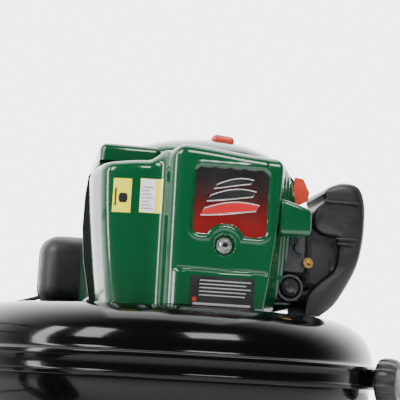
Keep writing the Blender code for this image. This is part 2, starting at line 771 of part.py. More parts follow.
# ---------------------------------------------------------------- running gear


def chassis_rail():
    side = [(RAIL_END, -RAIL_Y), (-0.080, -RAIL_Y), (0.085, -0.125), (0.148, -0.060)]
    path = [(x, y, RAIL_Z) for x, y in side] + [(x, -y, RAIL_Z) for x, y in reversed(side)]
    return tube(rounded(path, 0.05, 3), RAIL_RADIUS, 2)


def cross_members():
    """Flat bars under the pan that carry the rubber mounts."""
    low, high = RAIL_Z + RAIL_RADIUS - 0.003, RAIL_Z + RAIL_RADIUS + 0.0035
    spans = [(-0.130, -0.100, RAIL_Y), (0.110, 0.134, 0.100)]
    return [box((left, -reach, low), (right, reach, high), 0.0008) for left, right, reach in spans]


def rubber_mount(x):
    """Strip between a frame bar and the pan."""
    low, high = RAIL_Z + RAIL_RADIUS + 0.0038, PAN_BOTTOM - GAP
    return box((x - 0.0110, -0.085, low), (x + 0.0110, 0.085, high), 0.001)


def axle_brackets():
    plates = []
    for side in (-1, 1):
        low, high = RAIL_Y * side - 0.009, RAIL_Y * side + 0.009
        plate = box((AXLE_X - 0.020, low, WHEEL_RADIUS - 0.014), (AXLE_X + 0.020, high, RAIL_Z - 0.005), 0.001)
        bore = rod((AXLE_X, low - 0.01, WHEEL_RADIUS), (AXLE_X, high + 0.01, WHEEL_RADIUS), 0.0064, 16)
        plates.append(cut(plate, bore))
    return plates


def handle_sockets():
    """Plates on the outside of the rail's ends that the handle tubes bolt to."""
    plates = []
    for side in (-1, 1):
        near, far = sorted((side * (RAIL_Y + RAIL_RADIUS - 0.0010), side * (RAIL_Y + RAIL_RADIUS + 0.0040)))
        plates.append(box((-0.4200, near, RAIL_Z - 0.010), (-0.3880, far, RAIL_Z + 0.065), 0.0008))
    return plates


def chassis_frame():
    """Bent rail with its bars and plates welded on."""
    return join(chassis_rail(), *cross_members(), *axle_brackets(), *handle_sockets(), caster_plate())


def rear_axle():
    """Rod right across, with a nut outside each wheel."""
    reach = WHEEL_Y + TYRE_WIDTH / 2 + 0.014
    solid = rod((AXLE_X, -reach, WHEEL_RADIUS), (AXLE_X, reach, WHEEL_RADIUS), 0.0060, 16)
    for side in (-1, 1):
        near, far = side * (WHEEL_Y + TYRE_WIDTH / 2 + 0.0030), side * (WHEEL_Y + TYRE_WIDTH / 2 + 0.0120)
        solid = join(solid, rod((AXLE_X, near, WHEEL_RADIUS), (AXLE_X, far, WHEEL_RADIUS), 0.0105, 6))
    return solid


def tyre(centre, radius, width, steps=20):
    half = width / 2
    inner = radius * 0.70
    profile = [(inner, half * 0.80), (radius * 0.90, half), (radius * 0.985, half * 0.72), (radius, half * 0.35)]
    profile += [(radius, -half * 0.35), (radius * 0.985, -half * 0.72), (radius * 0.90, -half), (inner, -half * 0.80)]
    return turned(profile, centre, "Y", steps)


def rim(centre, radius, width, bore, steps=20):
    half = width / 2
    outer = radius * 0.70 - GAP * 2
    hub = 0.018 if radius > 0.08 else 0.013
    profile = [(bore, half + 0.002), (hub, half + 0.002), (hub, 0.004), (outer * 0.82, 0.004), (outer * 0.86, half * 0.75)]
    profile += [(outer, half * 0.75), (outer, -half * 0.75), (outer * 0.86, -half * 0.75), (outer * 0.82, -0.004)]
    profile += [(hub, -0.004), (hub, -half - 0.002), (bore, -half - 0.002)]
    return turned(profile, centre, "Y", steps)


def caster_plate():
    """Bracket bolted to the front of the rail, with the bore of the swivel."""
    low, high = RAIL_Z + RAIL_RADIUS - 0.004, RAIL_Z + RAIL_RADIUS + 0.004
    plate = box((0.136, -0.030, low), (CASTER_X + 0.024, 0.030, high), 0.002)
    return cut(plate, rod((CASTER_X, 0, 0.1), (CASTER_X, 0, 0.2), 0.0066, 16))


def caster_fork():
    """Stem, crown and two legs, trailing behind the swivel axis, with the wheel's riveted pin."""
    low = RAIL_Z + RAIL_RADIUS - 0.0046
    crown = box((CASTER_X - 0.018, -0.026, low - 0.0060), (CASTER_X + 0.018, 0.026, low), 0.001)
    stem = rod((CASTER_X, 0, low - 0.003), (CASTER_X, 0, low + 0.0110), 0.0060, 16)
    head = rod((CASTER_X, 0, low + 0.0092), (CASTER_X, 0, low + 0.0140), 0.0100, 16)
    solid = join(crown, stem, head)
    wheel_x = CASTER_X - CASTER_TRAIL
    for side in (-1, 1):
        leg = [(CASTER_X - 0.014, low - 0.003), (CASTER_X + 0.014, low - 0.003)]
        leg += [(wheel_x + 0.012, CASTER_RADIUS - 0.010), (wheel_x - 0.010, CASTER_RADIUS - 0.010)]
        near, far = sorted((side * 0.0225, side * 0.0255))
        solid = join(solid, prism(leg, near, far))
    pin = rod((wheel_x, -0.0290, CASTER_RADIUS), (wheel_x, 0.0290, CASTER_RADIUS), 0.0045, 16)
    heads = [rod((wheel_x, side * 0.0245, CASTER_RADIUS), (wheel_x, side * 0.0305, CASTER_RADIUS), 0.0080, 6)
             for side in (-1, 1)]
    return join(solid, pin, *heads)


# ---------------------------------------------------------------- outlet deflector

DEFLECTOR_AXIS_Z = 0.2660
DEFLECTOR_Y = DUCT_END + 0.004
HINGE_Y = DUCT_END - 0.007


def deflector_pivot():
    return Vector((-HOUSING_REACH + DUCT_WIDTH / 2, HINGE_Y, DOME_TOP + 0.008))


def deflector():
    """Hood hinged over the duct mouth: a top and two cheeks, open below and ahead."""
    left, right = -HOUSING_REACH - 0.008, -HOUSING_REACH + DUCT_WIDTH + 0.008
    hood = box((left, DEFLECTOR_Y, 0.1500), (right, DEFLECTOR_Y + 0.070, DOME_TOP + 0.010), 0.006, 2)
    hollow = box((left + WALL, DEFLECTOR_Y - 0.02, 0.10), (right - WALL, DEFLECTOR_Y + 0.10, DOME_TOP + 0.010 - WALL))
    slope = Matrix.Translation((0, DEFLECTOR_Y + 0.07, 0.1500)) @ Matrix.Rotation(math.radians(-28), 4, "X")
    trim = moved(box((-0.4, 0.0, -0.2), (0.0, 0.2, 0.3)), slope)
    hood = cut(hood, hollow, trim)
    middle = (left + right) / 2
    z = DOME_TOP + 0.008
    eye = rod((middle - 0.030, HINGE_Y, z), (middle + 0.030, HINGE_Y, z), 0.0060, 16)
    web = box((middle - 0.030, HINGE_Y, z - 0.0010), (middle + 0.030, DEFLECTOR_Y + 0.004, z + 0.0018))
    hood = join(hood, eye, web)
    return cut(hood, rod((middle - 0.06, HINGE_Y, z), (middle + 0.06, HINGE_Y, z), 0.0034, 12))


def deflector_hinge():
    """Two ears on the duct roof with the pin through the hood's barrel."""
    middle = -HOUSING_REACH + DUCT_WIDTH / 2
    z = DOME_TOP + 0.008
    solid = rod((middle - 0.040, HINGE_Y, z), (middle + 0.040, HINGE_Y, z), 0.0030, 12)
    for side in (-1, 1):
        near, far = sorted((middle + side * 0.0310, middle + side * 0.0350))
        ear = box((near, HINGE_Y - 0.030, DOME_TOP + GAP), (far, HINGE_Y + 0.0045, z + 0.0045), 0.0005)
        foot_near, foot_far = sorted((middle + side * 0.0310, middle + side * 0.0480))
        foot = box((foot_near, HINGE_Y - 0.029, DOME_TOP + GAP + 0.0002), (foot_far, HINGE_Y - 0.010, DOME_TOP + 0.0025))
        solid = join(solid, ear, foot)
    return solid


# ---------------------------------------------------------------- handle


def upper_direction():
    return Vector((math.cos(UPPER_ANGLE), 0.0, math.sin(UPPER_ANGLE)))


def grip_centre():
    return FOLD_PIVOT + upper_direction() * UPPER_LENGTH


def lower_handle():
    """Two tubes with a cross brace between them."""
    brace_x, brace_z = -0.5150, 0.3620
    brace = rod((brace_x, -RAIL_Y, brace_z), (brace_x, RAIL_Y, brace_z), 0.0080, 16)
    return join(lower_tube(-1), brace, lower_tube(1))


def lower_tube(side):
    start = Vector((-0.4045, side * RAIL_Y, RAIL_Z + RAIL_RADIUS + 0.0020))
    high = Vector((FOLD_PIVOT.x, side * RAIL_Y, FOLD_PIVOT.z))
    run = (high - start).normalized()
    path = rounded([start, start + Vector((0, 0, 0.030)), high + run * 0.020], 0.03, 3)
    solid = tube(path, TUBE_RADIUS, 2)
    pin_low, pin_high = sorted((side * 0.14, side * 0.22))
    return cut(solid, rod((high.x, pin_low, high.z), (high.x, pin_high, high.z), 0.0045, 12))


def upper_bar():
    u = upper_direction()
    low, high = FOLD_PIVOT - u * 0.035, grip_centre()
    path = [Vector((low.x, -UPPER_Y, low.z)), Vector((high.x, -UPPER_Y, high.z))]
    path += [Vector((high.x, UPPER_Y, high.z)), Vector((low.x, UPPER_Y, low.z))]
    solid = tube(rounded(path, 0.045, 4), TUBE_RADIUS, 2)
    pivot = rod((FOLD_PIVOT.x, -0.3, FOLD_PIVOT.z), (FOLD_PIVOT.x, 0.3, FOLD_PIVOT.z), 0.0045, 12)
    return cut(solid, pivot)


def fold_rod():
    """Rod through all four tube ends, threaded at both ends for the knobs."""
    reach = UPPER_Y + TUBE_RADIUS + 0.0100
    return rod((FOLD_PIVOT.x, -reach, FOLD_PIVOT.z), (FOLD_PIVOT.x, reach, FOLD_PIVOT.z), 0.0040, 12)


def fold_knob(side):
    x, z = FOLD_PIVOT.x, FOLD_PIVOT.z
    low, high = side * (UPPER_Y + TUBE_RADIUS + 0.0006), side * (UPPER_Y + TUBE_RADIUS + 0.0180)
    solid = rod((x, low, z), (x, high, z), 0.0200, 20, 0.0170)
    return cut(solid, rod((x, low - side * 0.01, z), (x, side * (UPPER_Y + TUBE_RADIUS + 0.0108), z), 0.0042, 12))


def hand_grip(side):
    centre = grip_centre()
    near, far = sorted((side * 0.0420, side * 0.1380))
    return pipe((centre.x, near, centre.z), (centre.x, far, centre.z), 0.0116, 0.0160, 16)


def control_box():
    """Clamp at the middle of the crossbar for the throttle lever and the stop switch."""
    centre = grip_centre()
    body = box((centre.x - 0.0200, -0.0380, centre.z - 0.0170), (centre.x + 0.0200, 0.0380, centre.z + 0.0240), 0.004)
    body = cut(body, rod((centre.x, -0.06, centre.z), (centre.x, 0.06, centre.z), 0.0116, 16))
    slot = box((centre.x - 0.0150, -0.0060, centre.z + 0.0140), (centre.x + 0.0300, 0.0060, centre.z + 0.0300))
    well = box((centre.x - 0.0080, 0.0150, centre.z + 0.0160), (centre.x + 0.0080, 0.0290, centre.z + 0.0300))
    return cut(body, slot, well)


def throttle_pivot():
    return grip_centre() + Vector((0.0120, 0.0, 0.0200))


def throttle_lever():
    pivot = throttle_pivot()
    hub = rod((pivot.x, -0.0055, pivot.z), (pivot.x, 0.0055, pivot.z), 0.0050, 16)
    blade = [(pivot.x - 0.003, pivot.z + 0.002), (pivot.x + 0.003, pivot.z + 0.002)]
    blade += [(pivot.x + 0.002, pivot.z + 0.040), (pivot.x - 0.005, pivot.z + 0.040)]
    return join(hub, prism(blade, -0.0050, 0.0050))


def stop_switch():
    centre = grip_centre()
    return box((centre.x - 0.0074, 0.0156, centre.z + 0.0196), (centre.x + 0.0074, 0.0284, centre.z + 0.0275), 0.0015)


def cable_upper_route():
    """Down the far leg of the upper bar, from the control box to the fold."""
    c, u = grip_centre(), upper_direction()
    side = UPPER_Y - 0.0220
    under = Vector((-u.z, 0.0, u.x)) * 0.016
    legs = ((0.330, side), (0.200, side), (0.090, side - 0.010), (0.030, side - 0.028))
    leg = [FOLD_PIVOT + u * d + under + Vector((0, y, 0)) for d, y in legs]
    return [c + Vector((0.0230, 0.0300, -0.0050)), c + Vector((0.0330, 0.0600, -0.0150)),
            c + Vector((0.0420, 0.1150, -0.0300)), *leg]


def cable_lower_route():
    """From the fold, inside the far lower tube, across the back of the engine to the throttle arm."""
    u = upper_direction()
    under = Vector((-u.z, 0.0, u.x)) * 0.016
    start = FOLD_PIVOT + u * 0.026 + under + Vector((0, UPPER_Y - 0.0500, 0))
    return [start, (-0.6050, 0.1400, 0.535), (-0.560, 0.1330, 0.460), (-0.460, 0.1200, 0.360),
            (-0.300, 0.1000, 0.330), (-0.180, 0.0820, 0.360), (-0.125, 0.0900, 0.390), (-0.060, 0.1080, 0.400),
            (0.040, 0.1080, 0.400), (0.095, 0.0850, 0.395), (0.1050, 0.0300, 0.380), (0.1000, -0.0300, 0.370),
            (0.0860, -0.0540, 0.3620), (0.0690, -0.0610, 0.3580)]


# ---------------------------------------------------------------- assembly


def build_housing():
    adopt(volute_top(), "volute_top", "black_gloss")
    adopt(volute_bottom(), "volute_bottom", "black_gloss")
    adopt(intake_grille(), "intake_grille", "black_paint")
    for name, angle in CLAMP_ANGLES.items():
        adopt(clamp_knob(angle), f"clamp_knob_{name}", "black_plastic", radial(angle, 0.2, CLAMP_Z))
    adopt(fan(), "impeller", "aluminium")
    adopt(fan_bolt(), "impeller_bolt", "steel")
    adopt(deflector(), "deflector_hood", "black_plastic", deflector_pivot())
    adopt(deflector_hinge(), "deflector_hinge", "steel")


def build_engine():
    adopt(crankcase(), "crankcase", "aluminium")
    adopt(crankshaft(), "crankshaft", "steel")
    adopt(cylinder(), "cylinder", "aluminium")
    adopt(piston(), "piston", "aluminium")
    adopt(cylinder_head(), "cylinder_head", "aluminium")
    adopt(spark_plug(), "spark_plug", "steel")
    adopt(plug_cap(), "spark_plug_cap", "rubber")
    adopt(ignition_coil(), "ignition_coil", "black_plastic")
    adopt(muffler(), "muffler", "steel")
    adopt(flywheel(), "flywheel", "aluminium")
    adopt(front_cover(), "front_cover", "green_plastic")
    adopt(cover_bolt(), "cover_bolt", "steel")
    adopt(baffle_plate(), "baffle_plate", "black_plastic")
    adopt(rear_cover(), "rear_cover", "dark_green")
    adopt(starter_housing(), "starter_housing", "dark_green")
    adopt(starter_pulley(), "starter_pulley", "black_plastic")
    adopt(starter_handle(), "starter_handle", "orange_plastic", starter_exit())
    adopt(starter_rope(), "starter_rope", "rubber")


def build_fuel_system():
    adopt(carburettor(), "carburettor", "aluminium")
    adopt(primer_bulb(), "primer_bulb", "clear_plastic", (0.0680, -0.1015, 0.2830))
    adopt(fuel_fitting(), "fuel_fitting", "brass")
    adopt(choke_lever(), "choke_lever", "orange_plastic", CHOKE_PIVOT)
    adopt(throttle_arm(), "throttle_arm", "steel", THROTTLE_ARM_PIVOT)
    adopt(filter_cover(), "filter_cover", "black_plastic")
    adopt(filter_element(), "filter_element", "foam")
    adopt(fuel_tank(), "fuel_tank", "black_plastic")
    adopt(fuel_cap(), "fuel_cap", "black_plastic", (0.060, 0.138, 0.350))
    adopt(tube(smooth_route(FUEL_LINE_ROUTE, 0.014), 0.0025, 1), "fuel_line", "rubber")


def build_running_gear():
    adopt(chassis_frame(), "chassis_frame", "black_paint")
    adopt(rubber_mount(0.123), "rubber_mount_front", "rubber")
    adopt(rubber_mount(-0.115), "rubber_mount_rear", "rubber")
    adopt(rear_axle(), "rear_axle", "steel")
    for name, side in (("near", -1), ("far", 1)):
        centre = (AXLE_X, side * WHEEL_Y, WHEEL_RADIUS)
        adopt(tyre(centre, WHEEL_RADIUS, TYRE_WIDTH), f"tyre_{name}", "rubber", centre)
        adopt(rim(centre, WHEEL_RADIUS, TYRE_WIDTH, 0.0064), f"rim_{name}", "black_plastic", centre)
    adopt(caster_fork(), "caster_fork", "steel", (CASTER_X, 0.0, RAIL_Z))
    centre = (CASTER_X - CASTER_TRAIL, 0.0, CASTER_RADIUS)
    adopt(tyre(centre, CASTER_RADIUS, 0.034, 16), "caster_tyre", "rubber", centre)
    adopt(rim(centre, CASTER_RADIUS, 0.034, 0.0050, 16), "caster_rim", "black_plastic", centre)


def build_handle():
    adopt(lower_handle(), "handle_lower", "black_paint")
    adopt(upper_bar(), "handle_upper", "black_paint", FOLD_PIVOT)
    adopt(fold_rod(), "fold_rod", "steel", FOLD_PIVOT)
    for name, side in (("near", -1), ("far", 1)):
        adopt(fold_knob(side), f"fold_knob_{name}", "black_plastic", FOLD_PIVOT)
        adopt(hand_grip(side), f"hand_grip_{name}", "foam", FOLD_PIVOT)
    adopt(control_box(), "control_box", "black_plastic", FOLD_PIVOT)
    adopt(throttle_lever(), "throttle_lever", "orange_plastic", throttle_pivot())
    adopt(stop_switch(), "stop_switch", "orange_plastic", grip_centre() + Vector((0.0, 0.022, 0.0236)))
    adopt(tube(smooth_route(cable_upper_route(), 0.020), 0.0025, 1), "throttle_cable_upper", "rubber")
    adopt(tube(smooth_route(cable_lower_route(), 0.028), 0.0025, 1), "throttle_cable_lower", "rubber")


def centre_on_origin():
    """Puts the middle of the footprint at the origin and the lowest point at z = 0."""
    bpy.context.view_layer.update()
    corners = [obj.matrix_world @ Vector(corner) for obj in PARTS.objects for corner in obj.bound_box]
    low = Vector([min(corner[axis] for corner in corners) for axis in range(3)])
    high = Vector([max(corner[axis] for corner in corners) for axis in range(3)])
    for obj in PARTS.objects:
        obj.location -= Vector(((low.x + high.x) / 2, (low.y + high.y) / 2, low.z))


build_housing()
build_engine()
build_fuel_system()
build_running_gear()
build_handle()
centre_on_origin()
bpy.context.view_layer.update()
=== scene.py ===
"""Looks of the walk-behind leaf blower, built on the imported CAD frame.

Sizes are given about the crankshaft axis, with the floor at z = 0, and AT moves them into the row frame.
"""

import json
import math

import bmesh
import bpy
from mathutils import Matrix, Vector
from mathutils.bvhtree import BVHTree


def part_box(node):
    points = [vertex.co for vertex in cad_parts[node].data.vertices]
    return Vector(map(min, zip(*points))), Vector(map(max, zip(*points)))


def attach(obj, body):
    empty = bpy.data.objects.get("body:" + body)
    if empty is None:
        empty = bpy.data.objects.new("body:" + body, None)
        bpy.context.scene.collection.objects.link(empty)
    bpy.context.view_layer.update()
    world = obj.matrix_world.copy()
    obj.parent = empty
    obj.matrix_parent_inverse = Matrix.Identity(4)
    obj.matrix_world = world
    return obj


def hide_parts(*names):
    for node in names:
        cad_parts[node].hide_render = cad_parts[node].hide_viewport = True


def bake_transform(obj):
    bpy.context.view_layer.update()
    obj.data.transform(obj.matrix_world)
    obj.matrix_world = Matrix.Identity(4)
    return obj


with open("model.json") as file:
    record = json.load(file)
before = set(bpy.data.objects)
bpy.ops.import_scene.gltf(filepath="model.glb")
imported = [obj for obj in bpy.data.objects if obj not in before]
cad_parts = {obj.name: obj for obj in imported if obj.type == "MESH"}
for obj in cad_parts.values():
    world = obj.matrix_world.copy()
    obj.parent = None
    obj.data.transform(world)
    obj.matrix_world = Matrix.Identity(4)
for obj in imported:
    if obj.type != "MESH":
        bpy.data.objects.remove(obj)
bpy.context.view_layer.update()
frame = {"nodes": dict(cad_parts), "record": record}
NODES = frame["nodes"]

low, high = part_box("crankshaft")
AT = Vector(((low[0] + high[0]) / 2, (low[1] + high[1]) / 2, 0.0))
SHIFT = Matrix.Translation(AT)

# Sizes shared with the CAD part
HOUSING_REACH, SPIRAL_LOSS, TONGUE_ANGLE = 0.235, 0.0004, 106.0
DUCT_WIDTH, DUCT_END = 0.11, 0.235
PAN_BOTTOM, BELT_LOW, BELT_TOP, DOME_TOP = 0.15, 0.197, 0.217, 0.258
DOME_INSET, PAN_INSET, LIP_INSET, INTAKE_RADIUS = 0.045, 0.04, 0.0016, 0.085
COVER_FRONT, COVER_STEP, BAFFLE_Y = -0.14, -0.118, -0.047
BOLT_Z = 0.3122
STARTER_EXIT = Vector((0.014, -0.03, 0.417))
PULL_AXIS = Vector((-0.6, 0.0, 0.8))
AXLE = Vector((-0.36, 0.0, 0.1))
WHEEL_Y, TYRE_WIDTH = 0.255, 0.05
CASTER = Vector((0.232, 0.0, 0.065))
FOLD_PIVOT = Vector((-0.62, 0.0, 0.56))
UPPER_ANGLE, UPPER_LENGTH, UPPER_Y = math.radians(140.0), 0.44, 0.193
CLAMPS = {"clamp_knob_front": -38.0, "clamp_knob_rear": 75.0}
CLAMP_Z, CLAMP_STANDOFF = 0.204, 0.004

# Sizes of the visible shells
HOUSING_WALL, COVER_WALL, COVER_FOOT = 0.0024, 0.0022, 0.26
BOLT_Y, CAP_X, CAP_Y = -0.1362, 0.06, 0.138

# The camera looks at a point, which stands off the picture's middle by these slopes
AIM_POINT, AIM_RIGHT, AIM_UP, CAMERA_DISTANCE = Vector((0.0, -0.14, 0.315)), 0.02174, -0.03652, 0.98

# ---------------------------------------------------------------- materials


def feed(tree, socket, value):
    """Links a node's output to a socket, or sets a plain value; colours get their alpha."""
    if isinstance(value, bpy.types.NodeSocket):
        tree.links.new(value, socket)
    elif socket.type == "RGBA" and len(value) == 3:
        socket.default_value = (*value, 1.0)
    else:
        socket.default_value = value


class Nodes:
    """Short forms for building a shader tree."""

    def __init__(self, name):
        self.material = bpy.data.materials.new(name)
        self.material.use_nodes = True
        self.tree = self.material.node_tree
        self.shader = self.tree.nodes["Principled BSDF"]
        self.place = self.add("ShaderNodeTexCoord").outputs["Object"]

    def add(self, kind, **inputs):
        node = self.tree.nodes.new(kind)
        for key, value in inputs.items():
            feed(self.tree, node.inputs[key.replace("_", " ")], value)
        return node

    def noise(self, scale, detail=3.0, stretch=None, rough=0.55):
        source = self.place
        if stretch:
            source = self.add("ShaderNodeMapping", Vector=source, Scale=stretch).outputs["Vector"]
        node = self.add("ShaderNodeTexNoise", Vector=source, Scale=scale, Detail=detail, Roughness=rough)
        return node.outputs["Fac"]

    def between(self, factor, low, high):
        """The middle of a noise, 0.3 to 0.7, mapped onto low..high."""
        node = self.add("ShaderNodeMapRange", Value=factor, To_Min=low, To_Max=high)
        node.inputs["From Min"].default_value = 0.3
        node.inputs["From Max"].default_value = 0.7
        return node.outputs["Result"]

    def mix(self, factor, first, second):
        """A colour that drifts from first to second with a noise."""
        node = self.tree.nodes.new("ShaderNodeMix")
        node.data_type = "RGBA"
        for index, value in ((0, self.between(factor, 0.0, 1.0)), (6, first), (7, second)):
            feed(self.tree, node.inputs[index], value)
        return node.outputs[2]

    def math(self, operation, *values):
        node = self.tree.nodes.new("ShaderNodeMath")
        node.operation = operation
        for socket, value in zip(node.inputs, values):
            feed(self.tree, socket, value)
        return node.outputs[0]

    def set(self, **values):
        for key, value in values.items():
            feed(self.tree, self.shader.inputs[key.replace("_", " ")], value)

    def bumps(self, *layers, edge=0.0):
        """Layers of (height, strength, distance), the last on top of the others, over rounded edges."""
        normal = None
        if edge:
            bevel = self.add("ShaderNodeBevel", Radius=edge)
            bevel.samples = 4
            normal = bevel.outputs["Normal"]
        for height, strength, distance in layers:
            node = self.add("ShaderNodeBump", Height=height, Strength=strength, Distance=distance)
            if normal is not None:
                self.tree.links.new(normal, node.inputs["Normal"])
            normal = node.outputs["Normal"]
        self.tree.links.new(normal, self.shader.inputs["Normal"])
        return self.material


def moulded_gloss(name, dark, light, roughness, coat=1.0, gloss=0.42, edge=0.0006):
    """Injection-moulded gloss: faint flow marks in the colour, orange peel, and fine dust in the gloss."""
    n = Nodes(name)
    flow = n.noise(9.0, 4.0, (1.0, 1.0, 0.35))
    dust = n.noise(900.0, 2.0)
    peel = n.noise(260.0, 2.0)
    n.set(Base_Color=n.mix(flow, dark, light))
    dull = n.math("MULTIPLY", dust, n.math("ADD", flow, 0.4))
    n.set(Roughness=n.between(dull, roughness * 0.7, roughness * 1.5))
    n.set(Coat_Weight=coat, Coat_Roughness=0.03, Specular_IOR_Level=gloss)
    return n.bumps((peel, 0.04, 0.0003), (dust, 0.03, 0.0001), edge=edge)


def moulded_satin(name, dark, light, roughness=0.45, grain=1400.0, strength=0.25, edge=0.0005):
    """Textured plastic: fine sparked grain, scuffs and slight colour drift."""
    n = Nodes(name)
    drift = n.noise(22.0, 3.0)
    fine = n.noise(grain, 2.0)
    scuff = n.noise(60.0, 6.0, (1.0, 1.0, 4.0), 0.7)
    n.set(Base_Color=n.mix(drift, dark, light))
    n.set(Roughness=n.between(scuff, roughness - 0.08, roughness + 0.1))
    return n.bumps((fine, strength, 0.0003), (scuff, 0.05, 0.0002), edge=edge)


def cast_metal(name, colour, roughness):
    n = Nodes(name)
    sand = n.noise(700.0, 4.0)
    stain = n.noise(30.0, 5.0)
    shade = tuple(channel * 0.62 for channel in colour)
    n.set(Base_Color=n.mix(stain, shade, colour), Metallic=1.0)
    n.set(Roughness=n.between(sand, roughness - 0.08, roughness + 0.15))
    return n.bumps((sand, 0.5, 0.0003), edge=0.0005)


def turned_metal(name, colour, roughness, stretch=(1.0, 1.0, 12.0)):
    """Plated or machined metal with fine tool lines and small bright and dull spots."""
    n = Nodes(name)
    lines = n.noise(260.0, 4.0, stretch)
    spots = n.noise(80.0, 4.0)
    shade = tuple(channel * 0.75 for channel in colour)
    n.set(Base_Color=n.mix(spots, shade, colour), Metallic=1.0)
    n.set(Roughness=n.between(lines, roughness - 0.06, roughness + 0.1))
    return n.bumps((lines, 0.1, 0.0002), edge=0.0003)


def rubbery(name, dark, light, roughness=0.75, scale=500.0):
    n = Nodes(name)
    dust = n.noise(14.0, 5.0)
    pores = n.noise(scale, 3.0)
    n.set(Base_Color=n.mix(dust, dark, light))
    n.set(Roughness=n.between(dust, roughness - 0.1, roughness + 0.1))
    return n.bumps((pores, 0.3, 0.0003), edge=0.0004)


def foam(name):
    n = Nodes(name)
    cells = n.add("ShaderNodeTexVoronoi", Vector=n.place, Scale=900.0).outputs["Distance"]
    drift = n.noise(25.0, 4.0)
    n.set(Base_Color=n.mix(drift, (0.018, 0.018, 0.019), (0.045, 0.045, 0.046)))
    n.set(Roughness=n.between(drift, 0.85, 0.98), Sheen_Weight=0.3, Sheen_Roughness=0.5)
    return n.bumps((cells, 0.6, 0.0006))


def powder_coat(name):
    n = Nodes(name)
    peel = n.noise(420.0, 3.0)
    wear = n.noise(40.0, 6.0)
    n.set(Base_Color=n.mix(wear, (0.01, 0.01, 0.011), (0.026, 0.026, 0.028)))
    n.set(Roughness=n.between(peel, 0.22, 0.36), Coat_Weight=0.4, Coat_Roughness=0.15)
    return n.bumps((peel, 0.15, 0.0003), edge=0.0005)


def clear_vinyl(name, dark=(0.62, 0.66, 0.64), light=(0.86, 0.88, 0.86), clear=0.75):
    n = Nodes(name)
    haze = n.noise(50.0, 3.0)
    n.set(Base_Color=n.mix(haze, dark, light))
    n.set(Roughness=n.between(haze, 0.08, 0.22), Transmission_Weight=clear, IOR=1.45)
    return n.bumps((haze, 0.1, 0.0004))


def printed(name, first, second, roughness=0.3, scale=40.0):
    """Ink on a film label: a faint screen in the colour and a slightly wavy gloss."""
    n = Nodes(name)
    screen = n.noise(2500.0, 1.0)
    drift = n.noise(scale, 2.0)
    n.set(Base_Color=n.mix(n.math("MULTIPLY", screen, drift), first, second))
    n.set(Roughness=n.between(drift, roughness - 0.08, roughness + 0.08))
    n.set(Coat_Weight=0.3, Coat_Roughness=0.15)
    return n.bumps((drift, 0.05, 0.0003), (screen, 0.03, 0.00005))


def badge_ink(name):
    """Dark at the top running to red at the foot, with a soft halftone between."""
    n = Nodes(name)
    height = n.add("ShaderNodeSeparateXYZ", Vector=n.place).outputs["Z"]
    run = n.add("ShaderNodeMapRange", Value=height, From_Min=0.33, From_Max=0.372).outputs["Result"]
    drift = n.noise(35.0, 3.0)
    run = n.math("ADD", run, n.math("MULTIPLY", n.math("SUBTRACT", drift, 0.5), 0.25))
    node = n.add("ShaderNodeValToRGB", Fac=run)
    ramp = node.color_ramp
    ramp.elements[0].color = (0.15, 0.0045, 0.004, 1.0)
    ramp.elements[1].color = (0.0075, 0.0068, 0.0068, 1.0)
    middle = ramp.elements.new(0.6)
    middle.color = (0.03, 0.0055, 0.005, 1.0)
    n.set(Base_Color=node.outputs["Color"], Roughness=n.between(drift, 0.16, 0.3))
    n.set(Coat_Weight=0.6, Coat_Roughness=0.08)
    return n.bumps((n.noise(1800.0, 1.0), 0.04, 0.0001))


GREEN = moulded_gloss("green_gloss", (0.0006, 0.048, 0.015), (0.001, 0.067, 0.0215), 0.17, 0.35)
DARK_GREEN = moulded_gloss("dark_green_gloss", (0.001, 0.015, 0.006), (0.0016, 0.021, 0.0085), 0.24, 0.8)
BLACK_GLOSS = moulded_gloss("black_gloss", (0.001, 0.001, 0.0011), (0.0019, 0.0019, 0.0021), 0.12, 0.06, 0.2)
BLACK_SATIN = moulded_satin("black_satin", (0.0032, 0.004, 0.0044), (0.008, 0.008, 0.0086), 0.4)
TANK_BLACK = moulded_satin("tank_black", (0.005, 0.0053, 0.0064), (0.009, 0.0094, 0.011), 0.46, 500.0, 0.15)
KNOB_GREY = moulded_satin("knob_grey", (0.02, 0.02, 0.021), (0.034, 0.034, 0.036), 0.38, 1200.0, 0.2)
ORANGE = moulded_satin("orange_satin", (0.5, 0.03, 0.008), (0.62, 0.048, 0.012), 0.34, 1100.0, 0.12)
ALUMINIUM = cast_metal("cast_aluminium", (0.5, 0.51, 0.52), 0.42)
DARK_CAST = cast_metal("dark_casting", (0.085, 0.086, 0.09), 0.48)
STEEL = turned_metal("zinc_steel", (0.62, 0.62, 0.6), 0.26)
DARK_STEEL = turned_metal("muffler_steel", (0.2, 0.18, 0.17), 0.45)
BRASS = turned_metal("brass", (0.72, 0.47, 0.16), 0.26)
RUBBER = rubbery("black_rubber", (0.014, 0.014, 0.014), (0.03, 0.03, 0.029))
TYRE = rubbery("tyre_rubber", (0.016, 0.016, 0.016), (0.034, 0.033, 0.031), 0.8, 300.0)
FOAM = foam("grip_foam")
COAT = powder_coat("powder_coat")
VINYL = clear_vinyl("clear_vinyl")
SMOKED = clear_vinyl("smoked_vinyl", (0.02, 0.02, 0.021), (0.045, 0.045, 0.047), 0.15)
BADGE = badge_ink("badge_ink")
INK_SILVER = printed("ink_silver", (0.5, 0.48, 0.47), (0.66, 0.64, 0.62))
INK_RED = printed("ink_red", (0.42, 0.01, 0.012), (0.55, 0.018, 0.016))
INK_BLACK = printed("ink_black", (0.01, 0.01, 0.01), (0.02, 0.02, 0.021))
INK_YELLOW = printed("ink_yellow", (0.74, 0.66, 0.02), (0.84, 0.76, 0.035))
INK_WHITE = printed("ink_white", (0.72, 0.73, 0.7), (0.82, 0.82, 0.79))
INK_GREY = printed("ink_grey", (0.3, 0.3, 0.3), (0.42, 0.42, 0.42))

